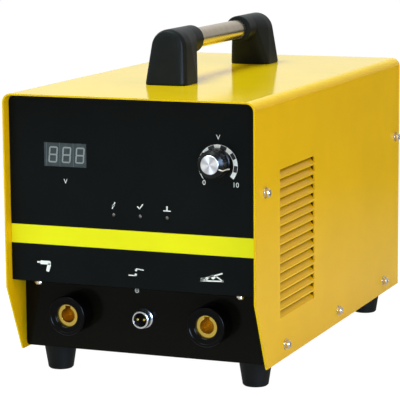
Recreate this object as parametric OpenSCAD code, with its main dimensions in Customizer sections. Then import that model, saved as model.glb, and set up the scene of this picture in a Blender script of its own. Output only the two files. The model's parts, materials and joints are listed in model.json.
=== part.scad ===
// Stud welder power unit: a sheet-metal case on rubber feet, with a carry handle on top.
// Millimetres, +Z up, the front towards -Y. The origin is on the floor under the middle of the outline.
// A depth runs back from the cover's front edge, and a rise runs up from the underside of the chassis.

/* [Cover] */
// Outer width of the cover
cover_w = 234.6; // [222:0.1:260]
// Depth of the cover from its front edge to its rear edge
cover_depth = 423; // [420:1:470]
// Height of the cover's sides
cover_h = 233.2; // [225:0.1:270]
// Sheet thickness of the cover
cover_t = 1.5; // [1:0.1:2]
// Outer bend radius of the two top edges
cover_bend_r = 8; // [5:0.5:12]
// How far the cover's sides reach below the chassis
cover_drop = 2.2; // [0.5:0.1:5]
// Height of the slanted front corners
slant_h = 62; // [45:1:64]
// Set-back of the slanted front corners at the lower edge
slant_depth = 27.7; // [15:0.1:32]

/* [Louvres] */
// Blades in each side's louvre field
louvre_count = 16; // [6:1:18]
// Height from one blade to the next
louvre_pitch = 8.27; // [7:0.01:9]
// Length of a blade
louvre_len = 92; // [60:1:100]
// How far a blade leans into the case
louvre_in = 5; // [3:0.1:6]
// Depth of the field's front end
louvre_front = 61.4; // [56:0.1:76]
// Height of the lowest blade's foot above the cover's lower edge
louvre_lift = 38; // [30:0.1:45]

/* [Panels] */
// Sheet thickness of the front and rear panels
panel_t = 1.5; // [1:0.1:2]
// Thickness of the printed overlay on the front panel
overlay_t = 0.5; // [0.3:0.1:0.8]
// Set-back of the overlay's face behind the cover's front edge
panel_set = 9.4; // [6:0.1:12]
// Rise of the front panel's lower edge
ledge_rise = 64.7; // [62:0.1:70]
// Fall of the ledge from the front panel back to the socket panel
ledge_drop = 6.4; // [3:0.1:8]
// Set-back of the socket panel's face
socket_set = 35; // [33:0.1:38]
// Thickness of the socket panel
socket_panel_t = 2; // [1.5:0.1:3]
// Corner radius of the socket panel's lower corners
socket_corner_r = 3; // [1:0.5:6]
// Length of the socket panel's lip under the front panel
socket_lip = 20; // [17:0.5:21]
// Set-back of the rear panel's face from the cover's rear edge
rear_set = 1; // [0.5:0.1:3]
// Length of the front panel's side flanges
front_flange = 31; // [27:1:40]
// Length of the rear panel's side flanges
rear_flange = 22; // [18:1:30]

/* [Chassis and feet] */
// Sheet thickness of the chassis pan
pan_t = 1.5; // [1:0.1:2.5]
// Height of the pan's side flanges
pan_flange_h = 25; // [20:1:30]
// Height of the pan's front and rear flanges
pan_end_h = 15; // [14:0.5:16]
// Height of a foot
foot_h = 25; // [18:0.5:35]
// Radius of a foot where it meets the pan
foot_top_r = 15.3; // [12:0.1:17]
// Radius of a foot at the floor
foot_low_r = 11.5; // [9.5:0.1:14]
// Distance of the feet's middles from the cover's sides
foot_in = 22.8; // [19:0.1:36]
// Depth of the front feet
foot_front = 61; // [58:1:65]
// Distance of the rear feet from the cover's rear edge
foot_rear_in = 41; // [30:1:60]

/* [Handle] */
// Sideways place of the handle
handle_x = -7; // [-20:1:20]
// Height of the tube's axis over the cover
handle_rise = 36.7; // [32:0.1:45]
// Place of the handle's middle along the cover's depth
handle_mid_share = 0.53691; // [0.46:0.00001:0.58]
// Distance between the two posts
post_pitch = 215; // [190:1:240]
// Width of a post's base
post_w = 40; // [38:0.5:50]
// Length of a post's base
post_len = 37; // [34:0.5:46]
// How far a post's head reaches beyond its base towards the middle
post_lean = 10.5; // [4:0.5:14]
// Corner radius of a post's base
post_corner_r = 7; // [5:0.5:14]
// Radius of the arch on a post's outer face
arch_r = 17; // [13:0.1:18]
// Radius of the collar round the tube
collar_r = 12.85; // [11.5:0.05:15]
// Distance from a post's middle to the collar's end
collar_reach = 47.5; // [42:0.5:55]
// Radius of the tube
tube_r = 9.25; // [8:0.05:10]
// Wall of the tube
tube_wall = 1.5; // [1:0.1:3]
// Length of the tube inside each collar
tube_seat = 24; // [15:0.5:26]

/* [Display and knob] */
// Distance of the display's middle from the cover's left side
display_in = 55.4; // [36:0.1:80]
// Width of the display window
display_w = 40.4; // [36:0.1:50]
// Height of the display window
display_h = 20.9; // [18:0.1:26]
// Distance of the display and the knob below the cover's top
dial_drop = 52.8; // [45:0.1:62]
// Distance of the knob's axis from the cover's right side
knob_in = 37.7; // [26:0.1:46]
// How far the knob stands out of the front panel
knob_proud = 18; // [17:0.1:24]
// Radius of the knob's skirt
skirt_r = 12.6; // [12.4:0.1:14]
// Radius of the knob's fluted grip
grip_r = 11.9; // [11:0.1:12.2]
// Radius of the bright cap on the knob
cap_r = 8.1; // [6:0.1:9]
// Radius of the potentiometer's shaft
shaft_r = 3; // [2.5:0.1:3.2]
// Flutes round the knob's grip
flute_count = 24; // [12:1:30]
// Sideways place of the middle indicator lamp, in widths of the cover
lamp_x_share = 0.03623; // [0:0.00001:0.08]
// Distance between the indicator lamps, in widths of the cover
lamp_pitch_share = 0.10656; // [0.08:0.00001:0.12]
// Radius of an indicator lamp
lamp_r = 1.5; // [1.2:0.1:2.5]
// Height of the lamps over the front panel's lower edge
lamp_lift = 63.5; // [60:0.1:70]

/* [Weld sockets] */
// Distance of the sockets' axes from the cover's sides
socket_in = 51.3; // [45:0.1:57]
// Rise of the sockets' axes
socket_rise = 33.9; // [32:0.1:36]
// Radius of a socket's insulating body
socket_r = 17.5; // [16:0.1:19]
// How far a body stands out of the socket panel
socket_proud = 21; // [18:0.5:25]
// How far the brass insert lies behind the body's rim
insert_sink = 4; // [1:0.5:6]
// Radius of the brass insert
insert_r = 10; // [9.5:0.1:11]
// Radius of the plug's bore
plug_bore_r = 6.5; // [4.5:0.1:7]
// Depth of the plug's bore
plug_bore_len = 30; // [20:1:32]
// Width of the key slot along the bore
key_w = 5; // [3:0.1:6]
// Radius of the stud behind the insert
stud_r = 5; // [4:0.1:6]

/* [Control connector] */
// Rise of the connector's axis
connector_rise = 33; // [28:0.1:38]
// Radius of the threaded shell
connector_r = 8; // [7.5:0.1:10]
// How far the shell stands out of the socket panel
connector_proud = 9.5; // [8:0.1:14]
// Wall of the shell
connector_wall = 1.2; // [0.8:0.1:1.5]

/* [Fasteners] */
// Shank radius of the case screws
screw_r = 1.9; // [1.5:0.1:2.2]
// Head radius of the case screws
screw_head_r = 3.9; // [3.4:0.1:4.4]
// Head height of the case screws
screw_head_h = 2.6; // [2:0.1:3.2]
// Radius of the washers under the side screws
washer_r = 4.7; // [4.5:0.1:6]
// Thickness of the washers
washer_t = 0.8; // [0.5:0.1:1.2]

/* [Rear fittings] */
// Side of the square fan frame, in widths of the cover
fan_size_share = 0.511509; // [0.46:0.000001:0.53]
// Depth of the fan frame
fan_depth = 25; // [22:0.5:32]
// Gap from the fan frame to the cover's left side
fan_side_gap = 12.3; // [10:0.1:14]
// Distance of the fan's axis below the cover's top
fan_drop = 91; // [82:1:106]
// Wire radius of the fan guard
guard_wire_r = 1.2; // [0.8:0.1:1.6]
// Blades on the fan rotor
fan_blades = 7; // [5:1:9]
// Distance of the switch, the inlet and the earth stud from the cover's right side
fitting_in = 47.3; // [41:0.1:53]
// Distance of the power switch below the cover's top
switch_drop = 61; // [42:1:80]
// Distance of the mains inlet below the cover's top
inlet_drop = 126; // [112:1:146]
// Rise of the earth stud
earth_rise = 40; // [34:1:60]
// Radius of the earth stud
earth_r = 3; // [2:0.1:4]
// Width of the switch's bezel
switch_w = 21; // [19:0.5:26]
// Height of the switch's bezel
switch_h = 30; // [28:0.5:36]
// Swing of the rocker from off to on, in degrees
rocker_swing = 20; // [12:1:24]

/* [Power parts] */
// Height of a capacitor can
can_h = 115; // [100:1:125]
// Radius of a can, in distances between the cans
can_r_share = 0.464; // [0.42:0.001:0.48]
// Place of the capacitor bank's middle along the inside
bank_share = 0.5271; // [0.52:0.0001:0.54]
// Height of the transformer's core
core_h = 68; // [60:1:76]
// Height of the heat sink
sink_h = 112; // [110:1:120]
// Thickness of the copper bars and straps
copper_t = 3; // [2:0.1:4]
// Width of the copper straps
strap_w = 18; // [16:0.5:20]

/* [Hidden] */
$fn = 48;

// Clearances: sheet against sheet, round fits, running fits, flat seats, and the overrun of all cuts
slip = 0.2;
fit = 0.1;
run_fit = 0.05;
seat = 0.05;
over = 5;
// Where the outline sits: the knob reaches furthest forward, the rocker or the earth stud furthest back
earth_proud = 14;
front_over = knob_proud - panel_set;
rear_over = earth_proud - rear_set;
front_y = (front_over - cover_depth - rear_over) / 2;
// Levels and faces of the case
pan_top = foot_h + pan_t;
cover_low = foot_h - cover_drop;
cover_top = cover_low + cover_h;
side_x = cover_w / 2;
flange_x = side_x - cover_t - slip;
panel_top = cover_top - cover_t - slip;
panel_corner_r = cover_bend_r - cover_t - slip;
sheet_front = panel_set + overlay_t;
sheet_back = sheet_front + panel_t;
ledge_z = foot_h + ledge_rise;
ledge_slope = ledge_drop / (socket_set - panel_set);
ledge_angle = atan(ledge_slope);
pan_front = socket_set + socket_panel_t + seat;
rear_face = cover_depth - rear_set;
rear_inner = rear_face - panel_t;
pan_rear = rear_inner - seat;
foot_x = side_x - foot_in;
foot_rear = cover_depth - foot_rear_in;
// Louvres
louvre_slot_share = 0.82;
louvre_slot = louvre_pitch * louvre_slot_share;
louvre_blade_share = 0.93;
// Case screws: five a side, two under the ledge, two low on the rear panel
side_screw_lift = 154.3;
side_screw_z = cover_low + side_screw_lift;
front_screw_depth = 24;
rear_screw_in = 15;
low_screw_rise = 10.2;
low_screw_first = 74.8;
low_screw_last_in = 52.4;
low_screw_count = 3;
low_screw_pitch = (cover_depth - low_screw_first - low_screw_last_in) / (low_screw_count - 1);
screw_hole_r = screw_r + 2 * fit;
screw_len = 9;
lock_washer_r = 3.8;
lock_washer_t = 1.2;
nut_r = 4;
nut_h = 3;
cross_w_share = 0.28;
cross_len_share = 1.25;
cross_depth_share = 0.55;
dome_share = 0.72;
ledge_screw_in = 20.1;
ledge_screw_x = flange_x - ledge_screw_in;
ledge_screw_depth = 22;
rear_screw_side = 25.6;
rear_screw_x = flange_x - rear_screw_side;
rear_screw_rise = 9;
panel_stud_x = 38;
panel_stud_rise = 8;
panel_stud_len = 7;
foot_pocket_r = 6;
foot_pocket_h = 12;
foot_chamfer = 1.2;
// Handle
handle_mid = cover_depth * handle_mid_share;
post_screw_x = 11;
post_screw_len = 14;
post_base_t = 1;
arch_lean = 7;
arch_edge = 5.5;
arch_shares = [[0, 1], [0.3, 0.3], [1, 0]];
arch_len = 12;
arch_rise = handle_rise + collar_r - arch_r;
// Front panel fittings
dial_z = cover_top - dial_drop;
display_x = display_in - side_x;
knob_x = side_x - knob_in;
lamp_x = cover_w * lamp_x_share;
lamp_pitch = cover_w * lamp_pitch_share;
lamp_z = ledge_z + lamp_lift;
bushing_r = 4.5;
bushing_len = 3.2;
pot_r = 8.5;
pot_len = 9;
pot_nut_r = 6.6;
pot_nut_h = 2;
knob_gap = 0.8;
knob_pocket_r = 7.6;
knob_pocket_h = 4;
skirt_h = 2.6;
skirt_blend = 0.6;
knob_chamfer = 2.3;
cap_lip = 0.5;
cap_sink = 0.6;
cap_t = 1.2;
cap_edge = 0.4;
flute_r = 0.9;
flute_out_share = 0.35;
shaft_in_knob = 9;
shaft_in_pot = 6;
standoff_len = 12;
standoff_r = 3;
board_t = 1.6;
board_front = sheet_back + standoff_len;
board_side_in = 19.6;
board_left = board_side_in - flange_x;
board_knob_gap = 18.8;
board_right = knob_x - board_knob_gap;
board_low_margin = 9;
board_high_margin = 40;
board_low = lamp_z - board_low_margin;
board_high = dial_z + board_high_margin;
board_edge = 6;
module_rim = 2;
window_rim = 1.5;
module_gap = 0.4;
digit_count = 3;
digit_gap = 0.6;
digit_rise = 0.8;
lamp_proud = 1.2;
lamp_back = 4;
lamp_flange_r = 1.9;
lamp_flange_t = 0.9;
lead_r = 0.3;
lead_gap = 1.27;
// Weld sockets
socket_x = side_x - socket_in;
socket_z = foot_h + socket_rise;
socket_chamfer = 1.2;
bush_r = 13;
bush_len = 9;
ring_nut_r = 17;
ring_nut_h = 6;
insert_back = 17;
stud_len = 18;
stud_nut_r = 9.5;
stud_nut_h = 8;
key_h = 2.2;
// Control connector
connector_z = foot_h + connector_rise;
connector_flange_r = 8.8;
connector_nut_r = 10.6;
connector_flange_t = 2.4;
connector_back = 13;
connector_nut_h = 3;
connector_face_sink = 7;
pin_r = 1;
pin_proud = 5;
pin_back = 5;
pin_gap = 3;
// Rear fittings
fan_size = cover_w * fan_size_share;
fan_x = fan_side_gap + fan_size / 2 - side_x;
fan_z = cover_top - fan_drop;
fitting_x = side_x - fitting_in;
fan_back = rear_inner;
fan_front = fan_back - fan_depth;
fan_hole_in = 7.5;
fan_wall = 2.6;
fan_hole_pitch = fan_size - 2 * fan_hole_in;
fan_bore_r = fan_size / 2 - fan_wall;
fan_screw_len = 12;
fan_flange_t = 4;
fan_corner_r = 5;
fan_hub_r = 20;
fan_hub_t = 3;
fan_spindle_r = 1.5;
fan_boss_r = 4;
fan_boss_h = 5;
fan_strut_w = 5;
rotor_gap = 1;
rotor_tip_gap = 1.6;
blade_t = 1.6;
blade_chord = 21;
blade_angle = 38;
guard_ring_count = 5;
guard_first_r = 14;
guard_ear_r = 5;
switch_z = cover_top - switch_drop;
bezel_t = 2;
switch_body_wall = 1.4;
switch_body_depth = 21;
bezel_lip = 2.2;
rocker_room = 1.1;
rocker_tip_out = 5;
rocker_mid_out = 3.2;
rocker_back_in = 4;
rocker_back_h_share = 0.5;
rocker_pin_r = 1.5;
rocker_pin_len = 1.2;
inlet_z = cover_top - inlet_drop;
inlet_w = 49;
inlet_h = 24;
inlet_flange_t = 2.5;
inlet_body_w = 28.5;
inlet_body_h = 20.5;
inlet_body_depth = 20;
inlet_recess_w = 24.4;
inlet_recess_h = 16.4;
inlet_recess_depth = 16;
inlet_key = 4;
inlet_screw_x = 20;
blade_pin_w = 2;
blade_pin_h = 4;
blade_pin_len = 14;
blade_pin_tail = 9;
blade_pin_x = 7;
blade_pin_low = -2;
blade_pin_high = 2.6;
earth_z = foot_h + earth_rise;
earth_nut_r = 5.6;
earth_nut_h = 4.5;
earth_head_h = 4;
earth_relief = 0.8;
earth_relief_share = 0.85;
// Power parts: the inside runs from the pan's front to the fan, its front bay from the sockets to the bank
inner_len = fan_front - pan_front;
can_across_share = 0.597;
can_along_share = 0.1925;
can_pitch = min(flange_x * can_across_share, inner_len * can_along_share);
can_r = can_pitch * can_r_share;
can_board_margin = 8;
bank_half = can_pitch / 2 + can_r + can_board_margin;
bank_depth = pan_front + inner_len * bank_share;
bay_gap = 4;
bay_front = socket_set + insert_back + stud_len + bay_gap;
bay_len = bank_depth - bank_half - bay_front;
board_bay_front = bank_depth + bank_half;
board_bay_len = fan_front - board_bay_front;
can_gap = 0.3;
can_terminal_x = 11;
can_terminal_r = 6;
can_terminal_h = 5;
can_rim = 1.5;
can_rim_h = 3;
bus_z = pan_top + can_h + can_terminal_h;
bus_t = 2;
bus_margin = 9;
inner_bus_half = can_pitch / 2 - can_terminal_x + bus_margin;
outer_bus_in = can_pitch / 2 + can_terminal_x - bus_margin;
outer_bus_out = can_pitch / 2 + can_terminal_x + bus_margin;
bus_tail = 22;
terminal_screw_r = 2.5;
terminal_head_r = 5;
terminal_head_h = 3.5;
terminal_screw_len = 8;
can_board_t = 4;
can_board_rise = 60;
can_post_r = 4;
core_x_share = -0.2362;
core_x = flange_x * core_x_share;
core_w_share = 0.7;
core_w = flange_x * core_w_share;
core_len_share = 0.58;
core_len = bay_len * core_len_share;
core_depth_share = 0.452;
core_depth = bay_front + bay_len * core_depth_share;
core_leg_share = 0.3333;
core_window_share = 0.6;
winding_gap = 0.5;
winding_out_share = 0.142;
winding_out = bay_len * winding_out_share;
clamp_t = 2;
clamp_l = 28;
clamp_foot = 10;
sink_x_share = 0.5075;
sink_x = flange_x * sink_x_share;
sink_base = 4;
sink_fin_share = 0.2975;
sink_fin = flange_x * sink_fin_share;
sink_fin_t = 2;
sink_fin_count = 10;
sink_len_share = 0.93;
sink_len = bay_len * sink_len_share;
sink_depth = bay_front + sink_len / 2;
sink_foot = 14;
thyristor_h = 34;
thyristor_len_share = 0.86;
thyristor_len = sink_len * thyristor_len_share;
thyristor_out_share = 0.245;
thyristor_out = flange_x * thyristor_out_share;
thyristor_rise = 64;
thyristor_z = pan_top + thyristor_rise;
thyristor_boss_r = 6;
thyristor_boss_h = 2;
thyristor_terminal_share = 0.307;
thyristor_terminal = thyristor_len * thyristor_terminal_share;
bridge_side = 26;
bridge_t = 8;
bridge_gap = 2;
bridge_hole_r = 2.2;
strap_x = sink_x - thyristor_out - thyristor_boss_h;
gun_bank_gap = 5.5;
gun_socket_out = 14;
bend_relief = 0.5;
gun_strap_x = -max(bank_half + gun_bank_gap, socket_x + gun_socket_out);
strap_depth = socket_set + insert_back;
gun_riser_mid = bank_depth;
top_tab_z = bus_z + bus_t;
link_overlap = 12;
bolt_hole_r = 2.6;
power_board_w_share = 0.735;
power_board_w = flange_x * power_board_w_share;
power_board_len_share = 0.78;
power_board_len = board_bay_len * power_board_len_share;
power_board_x_share = -0.5075;
power_board_x = flange_x * power_board_x_share;
power_board_mid_share = 0.458;
power_board_mid = board_bay_front + board_bay_len * power_board_mid_share;
power_board_lift = 8;
relay_w = 22;
relay_len = 28;
relay_h = 24;
resistor_w = 26;
resistor_len_share = 0.84;
resistor_len = power_board_len * resistor_len_share;
resistor_h = 24;

// Turns a depth behind the cover's front edge into a place on the Y axis
function fy(depth) = front_y + depth;
// Height of the ledge's underside at a depth
function ledge_at(depth) = ledge_z - ledge_slope * (depth - panel_set);
// Depths and heights of a side's two upper screws, its row of low screws, and all five
upper_screws = [[front_screw_depth, side_screw_z], [cover_depth - rear_screw_in, side_screw_z]];
low_screws = [for (i = [0 : low_screw_count - 1])
    [low_screw_first + i * low_screw_pitch, foot_h + low_screw_rise]];
side_screws = concat(upper_screws, low_screws);
// Floor places of the feet
foot_places = [for (sx = [-1, 1], depth = [foot_front, foot_rear]) [sx * foot_x, depth]];
// Middle of each can, as signs of half a pitch
can_signs = [for (sx = [-1, 1], sy = [-1, 1]) [sx, sy]];

// Extrudes an X-Z outline along Y from a depth
module along_y(depth, length) {
    translate([0, fy(depth) + length, 0]) rotate([90, 0, 0]) linear_extrude(length) children();
}

// Extrudes a Y-Z outline, drawn in depths, along X
module along_x(x, length) {
    translate([x, front_y, 0]) rotate([90, 0, 90]) linear_extrude(length) children();
}

// Puts a piece on the front, its own Z towards the viewer and its own Y upwards
module facing_front(x, depth, z) {
    translate([x, fy(depth), z]) rotate([90, 0, 0]) children();
}

// Puts a piece on the rear, its own Z backwards and its own Y downwards
module facing_rear(x, depth, z) {
    translate([x, fy(depth), z]) rotate([-90, 0, 0]) children();
}

// Places a piece on a list of side screws at both sides, its own Z outwards
module at_side_screws(x, places) {
    for (side = [0, 1], place = places)
        mirror([side, 0, 0])
            translate([x, fy(place[0]), place[1]]) rotate([0, 90, 0]) children();
}

// Places a piece under the ledge at both ledge screws, its own Z down and square to the ledge
module at_ledge_screws(lift) {
    for (sx = [-1, 1])
        translate([sx * ledge_screw_x, fy(ledge_screw_depth), ledge_at(ledge_screw_depth)])
            rotate([180 - ledge_angle, 0, 0]) translate([0, 0, -lift]) children();
}

// Places a piece on the studs behind the socket panel, its own Z towards the viewer
module at_panel_studs(depth) {
    for (sx = [-1, 1]) facing_front(sx * panel_stud_x, depth, foot_h + panel_stud_rise) children();
}

// Places a piece on the rear panel's low screws, its own Z backwards
module at_rear_screws(depth) {
    for (sx = [-1, 1])
        facing_rear(sx * rear_screw_x, depth, foot_h + rear_screw_rise) children();
}

// Rectangle in the X-Z plane with its top corners rounded
module round_top(w, low, high, r) {
    translate([-w / 2, low]) square([w, high - low - r]);
    translate([r - w / 2, low]) square([w - 2 * r, high - low]);
    for (sx = [-1, 1]) translate([sx * (w / 2 - r), high - r]) circle(r);
}

// Rectangle centred on the origin with round corners
module round_rect(w, h, r) {
    square([w - 2 * r, h], center = true);
    square([w, h - 2 * r], center = true);
    for (sx = [-1, 1], sy = [-1, 1]) translate([sx * (w / 2 - r), sy * (h / 2 - r)]) circle(r);
}

// Pan-head screw with a cross recess, the head's seat at zero and the shank downwards
module pan_screw(head_r, head_h, shank_r, shank_len) {
    cross = head_r * cross_w_share;
    cross_len = head_r * cross_len_share;
    cross_depth = head_h * cross_depth_share;
    difference() {
        union() {
            cylinder(h = head_h / 2, r = head_r);
            translate([0, 0, head_h / 2]) cylinder(h = head_h / 2, r1 = head_r, r2 = head_r * dome_share);
        }
        for (turn = [0, 90])
            rotate([0, 0, turn])
                translate([-cross_len / 2, -cross / 2, head_h - cross_depth])
                    cube([cross_len, cross, cross_depth + over]);
    }
    translate([0, 0, -shank_len]) cylinder(h = shank_len, r = shank_r);
}

// Hexagon nut standing on zero
module hex_nut(r, h, hole_r) {
    difference() {
        cylinder(h = h, r = r, $fn = 6);
        translate([0, 0, -over]) cylinder(h = h + 2 * over, r = hole_r);
    }
}

// Flat ring standing on zero
module ring(r, h, hole_r) {
    difference() {
        cylinder(h = h, r = r);
        translate([0, 0, -over]) cylinder(h = h + 2 * over, r = hole_r);
    }
}

// Straight hole through everything round zero
module hole(r, reach) {
    translate([0, 0, -reach]) cylinder(h = 2 * reach, r = r);
}

// Sheet blade of one louvre on the right side, its foot on the sheet and its head leaning in
module louvre_blade(foot_z) {
    head_z = foot_z + louvre_slot * louvre_blade_share;
    along_y(louvre_front, louvre_len)
        polygon([
            [side_x, foot_z],
            [side_x - cover_t, foot_z],
            [side_x - cover_t - louvre_in, head_z],
            [side_x - louvre_in, head_z]
        ]);
}

module top_cover() {
    color("gold") difference() {
        union() {
            difference() {
                along_y(0, cover_depth) difference() {
                    round_top(cover_w, cover_low, cover_top, cover_bend_r);
                    round_top(cover_w - 2 * cover_t, cover_low - over, cover_top - cover_t,
                        cover_bend_r - cover_t);
                }
                for (i = [0 : louvre_count - 1])
                    translate([-cover_w, fy(louvre_front), cover_low + louvre_lift + i * louvre_pitch])
                        cube([2 * cover_w, louvre_len, louvre_slot]);
            }
            for (side = [0, 1], i = [0 : louvre_count - 1])
                mirror([side, 0, 0]) louvre_blade(cover_low + louvre_lift + i * louvre_pitch);
        }
        along_x(-cover_w, 2 * cover_w)
            polygon([
                [0, cover_low + slant_h],
                [slant_depth, cover_low],
                [slant_depth, cover_low - over],
                [-over, cover_low - over],
                [-over, cover_low + slant_h]
            ]);
        at_side_screws(side_x, side_screws) hole(screw_hole_r, over);
        at_post_screws(cover_top) hole(screw_hole_r, over);
    }
}

module chassis_pan() {
    length = pan_rear - pan_front;
    color("dimgray") difference() {
        union() {
            translate([-flange_x, fy(pan_front), foot_h]) cube([2 * flange_x, length, pan_t]);
            for (side = [0, 1])
                mirror([side, 0, 0])
                    translate([flange_x - pan_t, fy(pan_front), foot_h]) cube([pan_t, length, pan_flange_h]);
            for (depth = [pan_front, pan_rear - pan_t])
                translate([-flange_x, fy(depth), foot_h]) cube([2 * flange_x, pan_t, pan_end_h]);
        }
        at_side_screws(side_x, low_screws) hole(screw_hole_r, 2 * over);
        at_panel_studs(pan_front) hole(screw_hole_r, over);
        at_rear_screws(rear_face) hole(screw_hole_r, 2 * over);
        for (place = foot_places)
            translate([place[0], fy(place[1]), foot_h]) hole(screw_hole_r, over);
    }
}

module front_panel() {
    flange_low = ledge_z + over;
    flange_high = panel_top - panel_corner_r;
    end = socket_set - slip;
    color("black") difference() {
        union() {
            along_y(sheet_front, panel_t) round_top(2 * flange_x, ledge_z, panel_top, panel_corner_r);
            for (side = [0, 1])
                mirror([side, 0, 0])
                    translate([flange_x - panel_t, fy(sheet_front), flange_low])
                        cube([panel_t, front_flange, flange_high - flange_low]);
            along_x(-flange_x, 2 * flange_x)
                polygon([
                    [sheet_front, ledge_at(sheet_front)],
                    [end, ledge_at(end)],
                    [end, ledge_at(end) + panel_t],
                    [sheet_front, ledge_at(sheet_front) + panel_t]
                ]);
        }
        facing_front(display_x, panel_set, dial_z)
            cube([display_w, display_h, 2 * over], center = true);
        facing_front(knob_x, panel_set, dial_z) hole(bushing_r + fit, over);
        at_lamps(panel_set) hole(lamp_r + fit, over);
        at_side_screws(side_x, upper_screws) hole(screw_hole_r, 2 * over);
        at_ledge_screws(0) hole(screw_hole_r, over);
    }
}

module front_overlay() {
    color("#15191b") difference() {
        along_y(panel_set, overlay_t) round_top(2 * flange_x, ledge_z, panel_top, panel_corner_r);
        facing_front(display_x, panel_set, dial_z)
            cube([display_w, display_h, 2 * over], center = true);
        facing_front(knob_x, panel_set, dial_z) hole(bushing_r + fit, over);
        at_lamps(panel_set) hole(lamp_r + fit, over);
    }
}

// Lower side of the socket panel's lip at a depth
function lip_at(depth) = ledge_at(depth) + panel_t + seat;

module socket_panel() {
    back = socket_set + socket_panel_t;
    nose = socket_set - socket_lip;
    color("#161612") at_panel_studs(back + panel_stud_len)
        cylinder(h = panel_stud_len + socket_panel_t / 2, r = screw_r);
    color("#161612") difference() {
        intersection() {
            along_x(-flange_x, 2 * flange_x)
                polygon([
                    [socket_set, foot_h],
                    [back, foot_h],
                    [back, lip_at(back) + socket_panel_t],
                    [nose, lip_at(nose) + socket_panel_t],
                    [nose, lip_at(nose)],
                    [socket_set, lip_at(socket_set)]
                ]);
            along_y(0, socket_set + over)
                mirror([0, 1]) round_top(2 * flange_x, -ledge_z - 2 * over, -foot_h, socket_corner_r);
        }
        for (sx = [-1, 1]) facing_front(sx * socket_x, socket_set, socket_z) hole(bush_r + fit, over);
        facing_front(0, socket_set, connector_z) hole(connector_r + fit, over);
        at_ledge_screws(0) hole(screw_hole_r, 2 * over);
    }
}

module rear_panel() {
    flange_low = foot_h + pan_flange_h + slip;
    flange_high = panel_top - panel_corner_r;
    color("#1b1b1b") difference() {
        union() {
            along_y(rear_inner, panel_t) round_top(2 * flange_x, foot_h + slip, panel_top, panel_corner_r);
            for (side = [0, 1])
                mirror([side, 0, 0])
                    translate([flange_x - panel_t, fy(rear_face - rear_flange), flange_low])
                        cube([panel_t, rear_flange, flange_high - flange_low]);
        }
        facing_rear(fan_x, rear_face, fan_z) hole(fan_bore_r, over);
        at_fan_screws() hole(screw_hole_r, over);
        facing_rear(fitting_x, rear_face, switch_z)
            cube([switch_w - 2 * bezel_lip + fit, switch_h - 2 * bezel_lip + fit, 2 * over], center = true);
        facing_rear(fitting_x, rear_face, inlet_z)
            cube([inlet_body_w + fit, inlet_body_h + fit, 2 * over], center = true);
        at_inlet_screws() hole(screw_hole_r, over);
        facing_rear(fitting_x, rear_face, earth_z) hole(earth_r + fit, over);
        at_side_screws(side_x, upper_screws) hole(screw_hole_r, 2 * over);
        at_rear_screws(rear_face) hole(screw_hole_r, over);
    }
}

module case_screws() {
    color("silver") {
        at_side_screws(side_x + washer_t + seat + lock_washer_t, side_screws)
            pan_screw(screw_head_r, screw_head_h, screw_r, screw_len);
        at_ledge_screws(0) pan_screw(screw_head_r, screw_head_h, screw_r, screw_len);
        at_rear_screws(rear_face) pan_screw(screw_head_r, screw_head_h, screw_r, screw_len);
    }
}

module case_washers() {
    color("lightgray") {
        at_side_screws(side_x, side_screws) ring(washer_r, washer_t, screw_hole_r);
        at_side_screws(side_x + washer_t + seat, side_screws)
            ring(lock_washer_r, lock_washer_t, screw_r + run_fit);
        at_post_screws(cover_top - cover_t - washer_t) ring(washer_r, washer_t, screw_hole_r);
    }
}

module case_nuts() {
    ledge_stack = panel_t + seat + socket_panel_t;
    color("gray") {
        at_side_screws(flange_x - panel_t - nut_h, upper_screws) hex_nut(nut_r, nut_h, screw_r + run_fit);
        at_side_screws(flange_x - pan_t - nut_h, low_screws) hex_nut(nut_r, nut_h, screw_r + run_fit);
        at_panel_studs(pan_front + pan_t + nut_h) hex_nut(nut_r, nut_h, screw_r + run_fit);
        at_inlet_screws() translate([0, 0, -panel_t - nut_h]) hex_nut(nut_r, nut_h, screw_r + run_fit);
        at_ledge_screws(ledge_stack + nut_h + seat) hex_nut(nut_r, nut_h, screw_r + run_fit);
        at_rear_screws(pan_rear - pan_t - nut_h) hex_nut(nut_r, nut_h, screw_r + run_fit);
        for (place = foot_places)
            translate([place[0], fy(place[1]), pan_top]) hex_nut(nut_r, nut_h, screw_r + run_fit);
    }
}

module rubber_foot() {
    rotate_extrude()
        polygon([
            [screw_hole_r, foot_pocket_h],
            [foot_pocket_r, foot_pocket_h],
            [foot_pocket_r, 0],
            [foot_low_r - foot_chamfer, 0],
            [foot_low_r, foot_chamfer],
            [foot_top_r, foot_h],
            [screw_hole_r, foot_h]
        ]);
}

module rubber_feet() {
    color("#111414")
        for (place = foot_places) translate([place[0], fy(place[1]), 0]) rubber_foot();
}

module foot_screws() {
    shank = foot_h - foot_pocket_h + pan_t + nut_h;
    color("silver")
        for (place = foot_places)
            translate([place[0], fy(place[1]), foot_pocket_h]) mirror([0, 0, 1])
                pan_screw(screw_head_r, screw_head_h, screw_r, shank);
}

// Puts a piece on the front post's seat, or mirrored on the rear post's, its own Y towards the middle
module at_post(rear) {
    translate([handle_x, fy(handle_mid), cover_top])
        mirror([0, rear, 0]) translate([0, -post_pitch / 2, 0]) children();
}

// Places a piece on the four handle screws, its own Z upwards
module at_post_screws(z) {
    for (rear = [0, 1], sx = [-1, 1])
        at_post(rear) translate([sx * post_screw_x, 0, z - cover_top]) children();
}

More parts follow.
